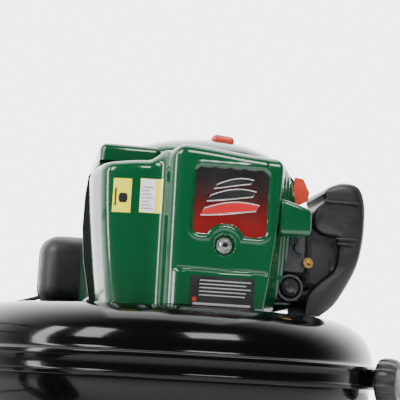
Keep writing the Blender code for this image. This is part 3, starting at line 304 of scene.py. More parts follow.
BY_SLOT = {
    "black_gloss_plastic": BLACK_GLOSS,
    "green_gloss_plastic": GREEN,
    "dark_green_plastic": DARK_GREEN,
    "black_matte_plastic": BLACK_SATIN,
    "orange_plastic": ORANGE,
    "cast_aluminium": ALUMINIUM,
    "bright_steel": STEEL,
    "fitting_brass": BRASS,
    "black_rubber": RUBBER,
    "tyre_rubber": TYRE,
    "clear_vinyl": VINYL,
    "grip_foam": FOAM,
    "black_paint": COAT,
}
SLOT_OF = {material.name: slot for slot, material in BY_SLOT.items()}

# ---------------------------------------------------------------- building blocks


def linked(name, work):
    """An object in the scene made from a bmesh, which is used up."""
    mesh = bpy.data.meshes.new(name)
    work.to_mesh(mesh)
    work.free()
    obj = bpy.data.objects.new(name, mesh)
    bpy.context.scene.collection.objects.link(obj)
    return obj


def finished(name, work, material, body, node=(), sharp=38.0, slot=None, at_rest=True):
    """A bmesh in machine coordinates made into a piece that rides on a body and stands for CAD nodes."""
    obj = linked(name, moved(work, SHIFT))
    obj.data.shade_smooth()
    obj.data.set_sharp_from_angle(angle=math.radians(sharp))
    obj.data.materials.append(material)
    slot = slot or SLOT_OF.get(material.name, "black_matte_plastic")
    if at_rest:
        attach(obj, body)
    if node:
        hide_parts(*([node] if isinstance(node, str) else node))
    return obj


def grid(rows, closed=False, caps=False):
    """A surface through rows of points; closed joins each row's ends."""
    work = bmesh.new()
    made = [[work.verts.new(point) for point in row] for row in rows]
    for first, second in zip(made, made[1:]):
        count = len(first)
        for index in range(count if closed else count - 1):
            after = (index + 1) % count
            work.faces.new((first[index], first[after], second[after], second[index]))
    if caps:
        work.faces.new(list(reversed(made[0])))
        work.faces.new(made[-1])
    bmesh.ops.recalc_face_normals(work, faces=work.faces)
    return work


def thickened(work, thickness):
    """The surface turned into a shell that grows against its normals."""
    obj = linked("sheet", work)
    solid = obj.modifiers.new("wall", "SOLIDIFY")
    solid.thickness = thickness
    solid.offset = -1.0
    return applied(obj)


def applied(obj):
    """The object's evaluated mesh as a bmesh, with the object removed."""
    bpy.context.view_layer.update()
    graph = bpy.context.evaluated_depsgraph_get()
    mesh = bpy.data.meshes.new_from_object(obj.evaluated_get(graph))
    work = bmesh.new()
    work.from_mesh(mesh)
    bpy.data.meshes.remove(mesh)
    bpy.data.objects.remove(obj)
    return work


def cut_from(work, *cutters):
    """The work with other bmeshes taken out of it."""
    body = linked("body", work)
    tools = [linked("tool", cutter) for cutter in cutters]
    for tool in tools:
        modifier = body.modifiers.new("cut", "BOOLEAN")
        modifier.object = tool
        modifier.operation = "DIFFERENCE"
        modifier.solver = "EXACT"
    found = applied(body)
    for tool in tools:
        bpy.data.objects.remove(tool)
    return found


def cylinder(radius, height, depth, segments=96):
    """An upright cylinder on the crank axis, centred at a height."""
    work = bmesh.new()
    bmesh.ops.create_cone(work, cap_ends=True, segments=segments, radius1=radius, radius2=radius, depth=depth)
    return moved(work, Matrix.Translation((0, 0, height)))


def revolve(profile, steps, wobble=None):
    """Rows of a profile of (radius, height) about Z. wobble(angle, index) changes a point's radius."""
    rows = []
    for step in range(steps):
        angle = 2 * math.pi * step / steps
        row = []
        for index, (radius, height) in enumerate(profile):
            reach = radius + (wobble(angle, index) if wobble else 0.0)
            row.append((reach * math.cos(angle), reach * math.sin(angle), height))
        rows.append(row)
    rows.append(rows[0])
    work = grid(rows)
    bmesh.ops.remove_doubles(work, verts=work.verts, dist=0.00001)
    bmesh.ops.recalc_face_normals(work, faces=work.faces)
    return work


def moved(work, matrix):
    bmesh.ops.transform(work, matrix=matrix, verts=work.verts)
    return work


def merged(*works):
    """Several bmeshes in one."""
    total = bmesh.new()
    for work in works:
        mesh = bpy.data.meshes.new("part")
        work.to_mesh(mesh)
        work.free()
        total.from_mesh(mesh)
        bpy.data.meshes.remove(mesh)
    return total


def block(low, high, bevel=0.0, segments=3):
    low, high = Vector(low), Vector(high)
    work = bmesh.new()
    bmesh.ops.create_cube(work, size=1.0)
    bmesh.ops.scale(work, vec=high - low, verts=work.verts)
    bmesh.ops.translate(work, vec=(low + high) / 2, verts=work.verts)
    if bevel:
        edges = work.edges[:]
        bmesh.ops.bevel(work, geom=edges, offset=bevel, segments=segments, profile=0.5, affect="EDGES")
    return work


def tube(points, radius, sides=20, caps=True, swell=None):
    """A round tube along points; swell(index) scales its radius there."""
    points = [Vector(point) for point in points]
    rows = []
    side = None
    for index, point in enumerate(points):
        ahead = points[min(index + 1, len(points) - 1)] - points[max(index - 1, 0)]
        ahead.normalize()
        if side is None:
            side = ahead.orthogonal().normalized()
        side = (side - ahead * side.dot(ahead)).normalized()
        other = ahead.cross(side)
        reach = radius * (swell(index) if swell else 1.0)
        turns = [2 * math.pi * k / sides for k in range(sides)]
        rows.append([point + (side * math.cos(turn) + other * math.sin(turn)) * reach for turn in turns])
    return grid(rows, closed=True, caps=caps)


def bend(corner, back, ahead, reach, arc_points):
    """Points of the curve that stands for a corner, from reach before it to reach after it."""
    shares = [step / arc_points for step in range(arc_points + 1)]
    return [corner + back * reach * (1 - t) ** 2 + ahead * reach * t**2 for t in shares]


def rounded(points, radius, arc_points=8):
    """A path with every corner rounded by the same radius."""
    points = [Vector(point) for point in points]
    path = [points[0]]
    for before, corner, after in zip(points, points[1:], points[2:]):
        back, ahead = (before - corner).normalized(), (after - corner).normalized()
        reach = min(radius, (before - corner).length / 2, (after - corner).length / 2)
        path += bend(corner, back, ahead, reach, arc_points)
    path.append(points[-1])
    return path


def curve_point(before, here, there, after, t):
    """The point at t between here and there, on a smooth curve through four points."""
    return 0.5 * (2 * here + (there - before) * t + (2 * before - 5 * here + 4 * there - after) * t**2
                  + (3 * here - before - 3 * there + after) * t**3)


def smooth_route(points, spacing):
    """A smooth curve through all the points."""
    points = [Vector(point) for point in points]
    ends = [points[0] * 2 - points[1], *points, points[-1] * 2 - points[-2]]
    route = []
    for before, here, there, after in zip(ends, ends[1:], ends[2:], ends[3:]):
        count = max(2, int((there - here).length / spacing))
        route += [curve_point(before, here, there, after, step / count) for step in range(count)]
    route.append(points[-1])
    return route


def between(value, low, high):
    """0 below low, 1 above high, smooth between."""
    t = min(1.0, max(0.0, (value - low) / (high - low)))
    return t * t * (3 - 2 * t)


# ---------------------------------------------------------------- camera, light and floor


def make_camera():
    """Close, from slightly below the engine, with a small roll, aimed beside the cover bolt."""
    azimuth, elevation, roll = math.radians(-10.0), math.radians(-9.0), math.radians(3.0)
    flat = math.cos(elevation)
    back = Vector((math.sin(azimuth) * flat, -math.cos(azimuth) * flat, math.sin(elevation)))
    level = (-back).cross(Vector((0, 0, 1))).normalized()
    upright = level.cross(-back)
    right = level * math.cos(roll) + upright * math.sin(roll)
    up = upright * math.cos(roll) - level * math.sin(roll)
    ray = right * AIM_RIGHT + up * AIM_UP - back
    place = AIM_POINT - ray * CAMERA_DISTANCE + AT
    data = bpy.data.cameras.new("camera")
    data.sensor_width = 36.0
    data.lens = 103.5
    data.clip_start = 0.01
    camera = bpy.data.objects.new("camera", data)
    bpy.context.scene.collection.objects.link(camera)
    turn = Matrix((right, up, back)).transposed().to_4x4()
    camera.matrix_world = Matrix.Translation(place) @ turn
    bpy.context.scene.camera = camera


def softbox(name, place, target, width, height, power):
    """A rectangular lamp that faces its target."""
    data = bpy.data.lights.new(name, "AREA")
    data.shape = "RECTANGLE"
    data.size = width
    data.size_y = height
    data.energy = power
    lamp = bpy.data.objects.new(name, data)
    bpy.context.scene.collection.objects.link(lamp)
    place, target = Vector(place) + AT, Vector(target) + AT
    facing = (target - place).to_track_quat("-Z", "Y").to_matrix().to_4x4()
    lamp.matrix_world = Matrix.Translation(place) @ facing


def make_studio():
    """A pale room that is bright behind the machine and dim in front of it, four lamps and a floor."""
    world = bpy.data.worlds.new("studio")
    world.use_nodes = True
    tree = world.node_tree
    background = tree.nodes["Background"]
    background.inputs["Color"].default_value = (0.95, 0.95, 0.97, 1.0)
    direction = tree.nodes.new("ShaderNodeTexCoord")
    split = tree.nodes.new("ShaderNodeSeparateXYZ")
    tree.links.new(direction.outputs["Generated"], split.inputs["Vector"])
    ramp = tree.nodes.new("ShaderNodeMapRange")
    ramp.interpolation_type = "SMOOTHSTEP"
    for socket, value in (("From Min", -0.25), ("From Max", 0.75), ("To Min", 0.14), ("To Max", 5.0)):
        ramp.inputs[socket].default_value = value
    tree.links.new(split.outputs["Y"], ramp.inputs["Value"])
    tree.links.new(ramp.outputs["Result"], background.inputs["Strength"])
    bpy.context.scene.world = world
    softbox("key_left", (-1.55, -1.35, 1.6), (-0.05, -0.1, 0.3), 0.55, 1.1, 38.0)
    softbox("key_right", (0.5, -1.7, 1.75), (0.0, -0.1, 0.3), 0.95, 0.6, 34.0)
    softbox("side_strip", (-1.3, -0.45, 0.75), (-0.1, -0.08, 0.3), 0.18, 1.0, 13.0)
    softbox("top_panel", (0.1, 0.3, 2.3), (0.0, 0.0, 0.3), 1.4, 1.2, 16.0)
    floor = bmesh.new()
    bmesh.ops.create_grid(floor, x_segments=1, y_segments=1, size=7.0)
    obj = linked("floor", floor)
    n = Nodes("floor_paper")
    drift = n.noise(0.8, 3.0)
    n.set(Base_Color=n.mix(drift, (0.8, 0.8, 0.83), (0.86, 0.86, 0.88)))
    n.set(Roughness=n.between(drift, 0.6, 0.75))
    obj.data.materials.append(n.bumps((n.noise(300.0), 0.05, 0.0002)))


# ---------------------------------------------------------------- fan housing


def spiral_radius(angle):
    return HOUSING_REACH - SPIRAL_LOSS * (angle + 180.0)


def housing_path(inset):
    """Plan of the housing from the duct's inner lip, round the spiral, to the duct's outer lip."""
    outer, inner = -(HOUSING_REACH - inset), -(HOUSING_REACH - DUCT_WIDTH + inset)
    steps = 96
    path = [(inner, DUCT_END), (inner, DUCT_END * 0.87), (inner, DUCT_END * 0.75)]
    for step in range(steps + 1):
        angle = TONGUE_ANGLE - step * (TONGUE_ANGLE + 180.0) / steps
        radius = spiral_radius(angle) - inset
        path.append((radius * math.cos(math.radians(angle)), radius * math.sin(math.radians(angle))))
    path += [(outer, DUCT_END * step / 6) for step in range(1, 7)]
    return path


def housing_shell(profile):
    """Rings of the housing's plan at (inset, height) stations, closed flat by the last ring."""
    rows = [[(x, y, z) for x, y in housing_path(inset)] for inset, z in profile]
    work = grid(rows)
    work.verts.ensure_lookup_table()
    work.faces.new(work.verts[-len(rows[-1]):])
    bmesh.ops.recalc_face_normals(work, faces=work.faces)
    top = max(work.faces, key=lambda face: len(face.verts))
    if top.normal.z * (profile[-1][1] - profile[0][1]) < 0:
        bmesh.ops.reverse_faces(work, faces=work.faces)
    return thickened(work, HOUSING_WALL)


def arc_profile(low, high, inset, steps, start=0.0):
    """(inset, height) stations of a quarter round from low to high."""
    found = []
    for step in range(steps + 1):
        angle = math.pi / 2 * step / steps
        found.append((start + inset * (1 - math.cos(angle)), low + (high - low) * math.sin(angle)))
    return found


def clamp_tabs():
    """Lugs on the belt and the studs that the knobs turn on."""
    tabs = []
    for angle in CLAMPS.values():
        reach = spiral_radius(angle) + CLAMP_STANDOFF
        turn = Matrix.Rotation(math.radians(angle), 4, "Z")
        low, high = (reach - 0.0016, -0.0098, BELT_LOW + 0.002), (reach + 0.007, 0.0098, BELT_TOP - 0.002)
        tab = block(low, high, 0.0018)
        tabs.append(moved(tab, turn))
        stud = tube([(reach + 0.006, 0, CLAMP_Z), (reach + 0.01, 0, CLAMP_Z)], 0.0035)
        tabs.append(moved(stud, turn))
    return tabs


def make_housing():
    belt = [(-0.003, 0.197), (-0.0038, 0.1976), (-0.004, 0.1986), (-0.004, 0.2006), (-0.0034, 0.2014)]
    belt += [(-0.0032, 0.2022), (-0.0032, 0.2118), (-0.0034, 0.2126), (-0.004, 0.2134), (-0.004, 0.2156)]
    belt += [(-0.0037, 0.2166), (-0.003, 0.2172), (-0.0014, 0.218), (-0.0004, 0.2192)]
    dome = arc_profile(BELT_TOP + 0.004, DOME_TOP, DOME_INSET, 14)
    top = merged(housing_shell(belt + dome), *clamp_tabs())
    finished("volute_top_shell", top, BLACK_GLOSS, "chassis", "volute_top", 30)
    lip = [(LIP_INSET, BELT_LOW + 0.009), (LIP_INSET, BELT_LOW - 0.001)]
    pan = arc_profile(BELT_LOW - 0.002, PAN_BOTTOM, PAN_INSET, 12, LIP_INSET)
    bottom = cut_from(housing_shell(lip + pan), cylinder(INTAKE_RADIUS, PAN_BOTTOM, 0.03, 72))
    finished("volute_bottom_shell", bottom, BLACK_GLOSS, "chassis", "volute_bottom", 30)


def make_clamp_knob(name, angle):
    """Fluted knob with a dished face, on a stud."""
    reach = spiral_radius(angle) + CLAMP_STANDOFF
    profile = [(0.0, 0.0165), (0.01, 0.0163), (0.0128, 0.0168), (0.0152, 0.0186), (0.0166, 0.0189)]
    profile += [(0.018, 0.0182), (0.0196, 0.016), (0.0206, 0.013), (0.0212, 0.009), (0.0212, 0.003)]
    profile += [(0.0205, 0.0008), (0.019, 0.0002), (0.0, 0.0002)]

    def flutes(turn_angle, index):
        if index < 6 or index > 10:
            return 0.0
        return -0.0011 * abs(math.sin(turn_angle * 9)) ** 0.6

    work = revolve(profile, 144, flutes)
    place = Matrix.Rotation(math.radians(angle), 4, "Z") @ Matrix.Translation((reach + 0.0078, 0, CLAMP_Z))
    place = place @ Matrix.Rotation(math.pi / 2, 4, "Y")
    moved(work, place)
    finished(name + "_fluted", work, BLACK_SATIN, name, name, 32)
    disc = revolve([(0.0, 0.0174), (0.011, 0.0172), (0.0124, 0.0166), (0.0124, 0.015), (0.0, 0.015)], 64)
    moved(disc, place)
    finished(name + "_face", disc, KNOB_GREY, name, (), 32)


# ---------------------------------------------------------------- green front cover

PLAN = [
    (-0.112, -0.0488, 0.0), (-0.1128, -0.078, 0.02), (-0.104, -0.112, 0.02), (-0.082, COVER_STEP, 0.012),
    (-0.054, COVER_STEP, 0.01), (-0.045, COVER_FRONT + 0.001, 0.011), (0.0, COVER_FRONT, 0.0),
    (0.049, COVER_FRONT, 0.006), (0.0515, -0.132, 0.003), (0.069, -0.11, 0.0),
]


def fillet(points, arc_points=9):
    """A path whose corners (x, y, radius) are rounded."""
    path = [Vector(points[0][:2])]
    for before, corner, after in zip(points, points[1:], points[2:]):
        here = Vector(corner[:2])
        back, ahead = Vector(before[:2]) - here, Vector(after[:2]) - here
        reach = min(corner[2], back.length * 0.48, ahead.length * 0.48)
        if reach < 0.0002:
            path.append(here)
        else:
            path += bend(here, back.normalized(), ahead.normalized(), reach, arc_points)
    path.append(Vector(points[-1][:2]))
    return path


def resampled(path, spacing):
    """Points about spacing apart along a path, its ends kept."""
    found = [path[0]]
    for first, second in zip(path, path[1:]):
        count = max(1, round((second - first).length / spacing))
        found += [first.lerp(second, step / count) for step in range(1, count + 1)]
    return found


def cover_top(x):
    """Height of the top edge: low over the muffler, a ramp, then the head's box."""
    left = 0.3826 + 0.0034 * between(x, -0.112, -0.06)
    box = left + (0.399 - left) * between(x, -0.066, -0.039) - 0.0068 * between(x, -0.045, 0.052)
    return box - 0.026 * max(0.0, (x - 0.052) / 0.017) ** 2


def badge_edge(x, z):
    """Distance inside the badge's outline: a rounded panel with a half-round bite for the bolt below."""
    centre_x, centre_z = 0.004, 0.35
    side = 0.033 - abs(x - centre_x - (z - centre_z) * 0.01)
    rise = 0.03 - abs(z - centre_z)
    corner = 0.007
    if side < corner and rise < corner:
        inside = corner - math.hypot(corner - side, corner - rise)
    else:
        inside = min(side, rise)
    bite = math.hypot(x, z - BOLT_Z) - 0.0178
    return min(inside, bite)


def cover_relief(x, y, z):
    """How far the cover's front stands in (+) or out (-) of its plain shape."""
    relief = 0.0
    if y < -0.128:
        edge = badge_edge(x, z)
        relief += 0.0012 * between(edge, -0.0006, 0.0006)
        relief -= 0.0006 * (between(edge, -0.0046, -0.003) - between(edge, -0.0022, -0.0006))
        relief += 0.0046 * (1 - between(math.hypot(x, z - BOLT_Z), 0.0076, 0.0094))
    flute = 0.5 + 0.5 * math.cos((x - 0.0525) / 0.0043 * 2 * math.pi)
    relief += 0.0018 * between(x, 0.0515, 0.053) * flute * (1 - between(z, 0.372, 0.38))
    relief -= 0.0016 * (1 - between(z, 0.2875, 0.2925)) * between(x, -0.044, -0.038)
    ridge = (1 - between(abs(z - 0.29), 0.0006, 0.0018)) * (1 - between(x, 0.036, 0.04))
    relief += 0.001 * between(x, -0.044, -0.038) * ridge
    return relief


def cover_surface():
    """The cover's plan path, and its upright wall as rows of points from foot to shoulder."""
    path = resampled(fillet(PLAN), 0.00125)
    heights = [0.0, 0.004] + [step / 104 for step in range(2, 101)]
    rows = []
    for share in heights:
        row = []
        for point in path:
            x, y = point
            taper = (1 - share) ** 1.6
            across = x + taper * (0.24 * max(0.0, -0.06 - x) - 0.27 * max(0.0, x))
            z = COVER_FOOT + (cover_top(x) - 0.01 - COVER_FOOT) * share / heights[-1]
            push = cover_relief(across, y, z)
            row.append((across, y + push if y < -0.1 else y, z))
        rows.append(row)
    return path, rows


def make_front_cover():
    """Muffler side and head box in one moulding, rounded into a top that runs back to the baffle."""
    path, rows = cover_surface()
    last = rows[-1]
    rear = BAFFLE_Y - 0.0018
    for step in range(1, 13):
        angle = math.pi / 2 * step / 12
        inward, up = 0.01 * (1 - math.cos(angle)), 0.01 * math.sin(angle)
        row = []
        for (x, y, z), point in zip(last, path):
            run = Vector((0.0 - x * 0.9, rear - y)) if x > -0.05 else Vector((-0.07 - x, rear - y))
            run = run.normalized() if run.length > 0.001 else Vector((0, 0))
            row.append((x + run.x * inward, min(rear, y + run.y * inward), z + up))
        rows.append(row)
    edge = rows[-1]
    for share in (0.15, 0.4, 0.7, 1.0):
        rows.append([(x, y + (rear - y) * share, z + 0.0006 * share) for x, y, z in edge])
    work = grid(rows)
    bmesh.ops.remove_doubles(work, verts=work.verts, dist=0.00002)
    front = min(work.faces, key=lambda face: face.calc_center_median().y)
    if front.normal.y > 0:
        bmesh.ops.reverse_faces(work, faces=work.faces)
    surface = BVHTree.FromBMesh(work)
    shell = thickened(work, COVER_WALL)
    finished("front_cover_shell", shell, GREEN, "chassis", "front_cover", 42)
    tab = block((0.048, -0.1385, 0.3248), (0.0772, -0.101, 0.358), 0.0045, 5)
    for vert in tab.verts:
        vert.co.z -= (vert.co.x - 0.048) * (0.3 if vert.co.z > 0.34 else -0.04)
    finished("front_cover_tab", tab, GREEN, "chassis", (), 42)
    return surface


def on_surface(surface, x, z, lift):
    """The point of the cover straight behind (x, z), lifted off it along its normal."""
    hit, normal, _, _ = surface.ray_cast(Vector((x, -0.3, z)), Vector((0, 1, 0)))
    if hit is None:
        return None
    if normal.y > 0:
        normal = -normal
    return hit + normal * lift


def label(name, surface, low, high, material, lift=0.0003, keep=None, across=28):
    """A film that follows the cover. keep(x, z) trims its outline."""
    wide, tall = high[0] - low[0], high[1] - low[1]
    upward = max(2, round(across * tall / wide))
    work = bmesh.new()
    points = {}
    for i in range(across + 1):
        for k in range(upward + 1):
            z = low[1] + tall * k / upward
            x = low[0] + wide * i / across
            place = on_surface(surface, x, z, lift)
            if place is not None:
                points[i, k] = (work.verts.new(place), x, z)
    for i in range(across):
        for k in range(upward):
            corners = [points.get(key) for key in ((i, k), (i + 1, k), (i + 1, k + 1), (i, k + 1))]
            if any(corner is None for corner in corners):
                continue
            if keep and not keep(sum(c[1] for c in corners) / 4, sum(c[2] for c in corners) / 4):
                continue
            work.faces.new([corner[0] for corner in corners])
    loose = [vert for vert in work.verts if not vert.link_faces]
    bmesh.ops.delete(work, geom=loose, context="VERTS")
    finished(name, work, material, "chassis", sharp=60)


def stroke(name, surface, outline, material, lift):
    """A printed shape with a crisp outline, laid on the cover."""
    work = bmesh.new()
    corners = [on_surface(surface, x, z, lift) for x, z in outline]
    work.faces.new([work.verts.new(corner) for corner in corners])
    bmesh.ops.triangulate(work, faces=work.faces)
    if sum(face.normal.y for face in work.faces) > 0:
        bmesh.ops.reverse_faces(work, faces=work.faces)
    finished(name, work, material, "chassis", sharp=60)


def make_badge(surface):
    """Plain panel with three swept bars."""
    label("badge_panel", surface, (-0.03, 0.3195), (0.038, 0.3805), BADGE, 0.0003,
          lambda x, z: badge_edge(x, z) > 0.0008, 130)
    sweeps = [(-0.019, 0.34, 0.048, 0.0095), (-0.014, 0.352, 0.04, 0.008),
              (-0.0085, 0.3625, 0.032, 0.0058)]
    for index, (x, z, run, deep) in enumerate(sweeps):
        upper, lower = [], []
        for step in range(33):
            t = step / 32
            bow = 0.006 * math.sin(t * math.pi * 0.55)
            thick = deep * (0.35 + 0.65 * math.sin(math.pi * min(1.0, t * 0.85 + 0.1)))
            upper.append((x + run * t, z + bow + thick / 2))
            lower.append((x + run * t - 0.0035, z + bow - thick / 2))
        outline = upper + lower[::-1]
        rim = [(px, pz + (0.0009 if k < 33 else -0.0009)) for k, (px, pz) in enumerate(outline)]
        stroke(f"badge_sweep_{index}_edge", surface, rim, INK_SILVER, 0.0005)
        stroke(f"badge_sweep_{index}", surface, outline, INK_RED if index == 0 else INK_BLACK, 0.0007)


def make_labels(surface):
    """Care labels as plain coloured fields with grey bars."""
    label("label_left", surface, (-0.0955, 0.3372), (-0.08, 0.3668), INK_YELLOW)
    leaf = []
    for step in range(24):
        angle = 2 * math.pi * step / 24
        reach = 0.0036 + 0.0012 * math.cos(2 * angle)
        leaf.append((-0.0868 + reach * math.cos(angle) * 0.8, 0.35 + 1.65 * reach * math.sin(angle)))
    stroke("label_left_leaf", surface, leaf, INK_BLACK, 0.0006)
    bar = [(-0.0938, 0.343), (-0.0925, 0.343), (-0.0925, 0.3585), (-0.0938, 0.3585)]
    stroke("label_left_bar", surface, bar, INK_BLACK, 0.0006)
    label("label_step", surface, (-0.0726, 0.338), (-0.0532, 0.368), INK_YELLOW)
    label("label_step_panel", surface, (-0.0722, 0.3384), (-0.059, 0.3676), INK_WHITE, 0.0006)
    for row in range(7):
        z = 0.3412 + row * 0.0031
        right = -0.0604 - 0.0022 * (row % 3)
        label(f"label_step_bar_{row}", surface, (-0.0708, z), (right, z + 0.0011), INK_GREY, 0.0007, None, 12)
    label("label_foot", surface, (-0.0285, 0.2585), (0.0268, 0.2848), INK_BLACK, 0.0003, None, 60)
    label("label_foot_strip", surface, (-0.0255, 0.2592), (0.024, 0.2622), INK_GREY, 0.0005, None, 50)
    label("label_foot_chip", surface, (-0.0262, 0.2632), (-0.0226, 0.2665), INK_RED, 0.0005, None, 8)
    for row in range(5):
        z = 0.2682 + row * 0.0031
        right = 0.0238 - 0.004 * (row % 2) if row else 0.019
        label(f"label_foot_bar_{row}", surface, (-0.0205, z), (right, z + 0.001), INK_GREY, 0.0005, None, 50)


def make_cover_bolt():
    """Socket-head bolt with a washer, sunk in its pocket; a black hexagon on the socket's floor is painted
    shade.
    """
    head = revolve([(0.0, 0.0024), (0.0023, 0.0024), (0.0024, 0.006), (0.004, 0.006), (0.0047, 0.0053),
                    (0.0048, 0.0), (0.0, 0.0)], 48)
    for vert in head.verts:
        reach = math.hypot(vert.co.x, vert.co.y)
        if 0.002 < reach < 0.003:
            angle = math.atan2(vert.co.y, vert.co.x)
            flat = math.cos(math.pi / 6) / math.cos((angle % (math.pi / 3)) - math.pi / 6)
            vert.co.x, vert.co.y = 0.0026 * flat * math.cos(angle), 0.0026 * flat * math.sin(angle)
    washer = revolve([(0.0049, 0.0004), (0.0068, 0.0004), (0.007, 0.0), (0.007, -0.0008), (0.0049, -0.0008),
                      (0.0049, 0.0004)], 48)
    place = Matrix.Translation((0, BOLT_Y, BOLT_Z)) @ Matrix.Rotation(math.pi / 2, 4, "X")
    work = moved(merged(head, washer), place)
    finished("cover_bolt_head", work, STEEL, "chassis", "cover_bolt", 30)
    # Painted shade: a thin black hexagon laid on the socket's floor darkens the recess.
    socket = revolve([(0.0, 0.003), (0.0025, 0.003), (0.0025, 0.0026), (0.0, 0.0026)], 6)
    moved(socket, place)
    finished("cover_bolt_socket_painted_shade", socket, BLACK_SATIN, "chassis", (), 30, "bright_steel")


# ---------------------------------------------------------------- air cleaner

CASE_OUTER = [
    (0.0955, 0.259), (0.1085, 0.27), (0.12, 0.288), (0.129, 0.307), (0.1335, 0.327), (0.135, 0.348),
    (0.134, 0.364), (0.13, 0.3755), (0.1235, 0.38), (0.112, 0.3806), (0.101, 0.3765), (0.096, 0.372),
]
CASE_INNER = [
    (0.0805, 0.2605), (0.083, 0.277), (0.0925, 0.288), (0.106, 0.3), (0.1095, 0.314), (0.1085, 0.329),
    (0.096, 0.333), (0.088, 0.34), (0.0878, 0.352), (0.0925, 0.359), (0.0965, 0.3635), (0.095, 0.369),
]


def along(points, share):
    """The point at a share of a polyline's length, on a smooth curve through its points."""
    count = len(points) - 1
    place = min(count - 1e-6, max(0.0, share * count))
    index = int(place)
    near = [Vector(points[min(count, max(0, index + k))]) for k in (-1, 0, 1, 2)]
    return curve_point(*near, place - index)


def make_filter_case():
    """Hook-shaped cover: a domed front plate, a rounded back edge and a skirt that runs in behind."""
    front, back = -0.1108, -0.0485
    rows = []
    steps = 72
    for step in range(steps + 1):
        share = step / steps
        outer, inner = along(CASE_OUTER, share), along(CASE_INNER, share)
        row = [(inner.x, y, inner.y) for y in (back, front + 0.014, front + 0.0035)]
        for k in range(13):
            t = k / 12
            point = inner.lerp(outer, t)
            crown = 0.003 * (1 - (2 * t - 1) ** 2)
            edge = 0.0028 * max(0.0, (t - 0.86) / 0.14) ** 2 + 0.0022 * max(0.0, (0.1 - t) / 0.1) ** 2
            groove = 0.001 * (1 - between(abs(t - 0.3), 0.02, 0.05))
            groove *= between(share, 0.2, 0.3) * (1 - between(share, 0.72, 0.8))
            row.append((point.x, front + 0.0032 - crown + edge + groove, point.y))
        row += [(outer.x, y, outer.y) for y in (front + 0.0085, front + 0.02, back)]
        rows.append(row)
    work = grid(rows, closed=True, caps=True)
    finished("filter_cover_shell", work, BLACK_SATIN, "chassis", "filter_cover", 34)
    ribs = [(0.362, 0.096, 0.127), (0.329, 0.1065, 0.127), (0.3245, 0.1075, 0.124)]
    for index, (z, x_low, x_high) in enumerate(ribs):
        rib = block((x_low, -0.1128, z - 0.0009), (x_high, -0.1085, z + 0.0009), 0.0006, 2)
        finished(f"filter_cover_rib_{index}", rib, BLACK_SATIN, "chassis", (), 34)


# ---------------------------------------------------------------- tank, starter, wheels and handle


def make_tank():
    """Blow-moulded tank with soft edges and a seam all round."""
    low, high = Vector((-0.1448, 0.1002, 0.2674)), Vector((0.0998, 0.1758, 0.3408))
    work = block(low, high, 0.02, 8)
    left, right, foot, roof = low.x + 0.0006, high.x - 0.0006, low.z + 0.0006, high.z - 0.0006
    loop = ((-0.02, foot), (right, foot), (right, roof), (left, roof), (left, foot), (-0.02, foot))
    seam = tube(rounded([(x, 0.138, z) for x, z in loop], 0.02, 10), 0.0012, 10)
    neck = revolve([(0.0135, 0.0085), (0.016, 0.0085), (0.016, 0.0), (0.0195, -0.004), (0.013, -0.004),
                    (0.0135, 0.0085)], 48)
    moved(neck, Matrix.Translation((CAP_X, CAP_Y, 0.3415)))
    finished("fuel_tank_shell", merged(work, seam, neck), TANK_BLACK, "chassis", "fuel_tank", 34)
    profile = [(0.0, 0.02), (0.015, 0.02), (0.016, 0.0185), (0.0205, 0.018), (0.0226, 0.0165), (0.023, 0.014)]
    profile += [(0.023, 0.002), (0.0222, 0.0004), (0.017, 0.0002), (0.017, 0.0165), (0.0, 0.0165)]

    def flutes(angle, index):
        return -0.001 * (0.5 + 0.5 * math.cos(angle * 24)) if 4 <= index <= 7 else 0.0

    bar = block((-0.014, -0.003, 0.0188), (0.014, 0.003, 0.0206), 0.0008, 2)
    cap = moved(merged(revolve(profile, 120, flutes), bar), Matrix.Translation((CAP_X, CAP_Y, 0.3414)))
    finished("fuel_cap_fluted", cap, BLACK_SATIN, "fuel_cap", "fuel_cap", 34)


def make_starter_dome():
    """Smooth dome over the flywheel with cooling slots, stepped rings and the grip's recess."""
    base, top, wall = 0.3985, 0.429, 0.0024
    profile = [(0.006, top)]
    for step in range(1, 25):
        t = step / 24
        turn = t * math.pi / 2
        profile.append((0.0798 * math.sin(turn), top - 0.0268 * (1 - math.cos(turn)) ** 0.85))
    profile += [(0.0799, base), (0.0799 - wall, base), (0.0799 - wall, top - 0.029)]
    profile += [(r - wall * 0.6, z - wall) for r, z in reversed(profile[1:24]) if r - wall * 0.6 > 0.007]
    profile += [(0.006, top - wall), (0.006, top)]
    dome = revolve(profile, 144)
    slots = []
    for index in range(11):
        slit = block((0.049, -0.0021, 0.4), (0.068, 0.0021, 0.445), 0.0018)
        slots.append(moved(slit, Matrix.Rotation(math.radians(-30.0 + index * 17.0), 4, "Z")))
    pocket = block((STARTER_EXIT.x - 0.0175, STARTER_EXIT.y - 0.021, STARTER_EXIT.z),
                   (STARTER_EXIT.x + 0.0138, STARTER_EXIT.y + 0.021, 0.46), 0.004, 4)
    opened = block((-0.1, -0.1, top - 0.0043), (0.1, STARTER_EXIT.y - 0.0222, 0.46))
    dome = cut_from(dome, merged(*slots), pocket, opened)
    floor = block((STARTER_EXIT.x - 0.019, STARTER_EXIT.y - 0.0225, STARTER_EXIT.z - 0.002),
                  (STARTER_EXIT.x + 0.015, STARTER_EXIT.y + 0.0225, STARTER_EXIT.z - 0.0001), 0.0006, 2)
    finished("starter_housing_dome", merged(dome, floor), GREEN, "chassis", "starter_housing", 32)


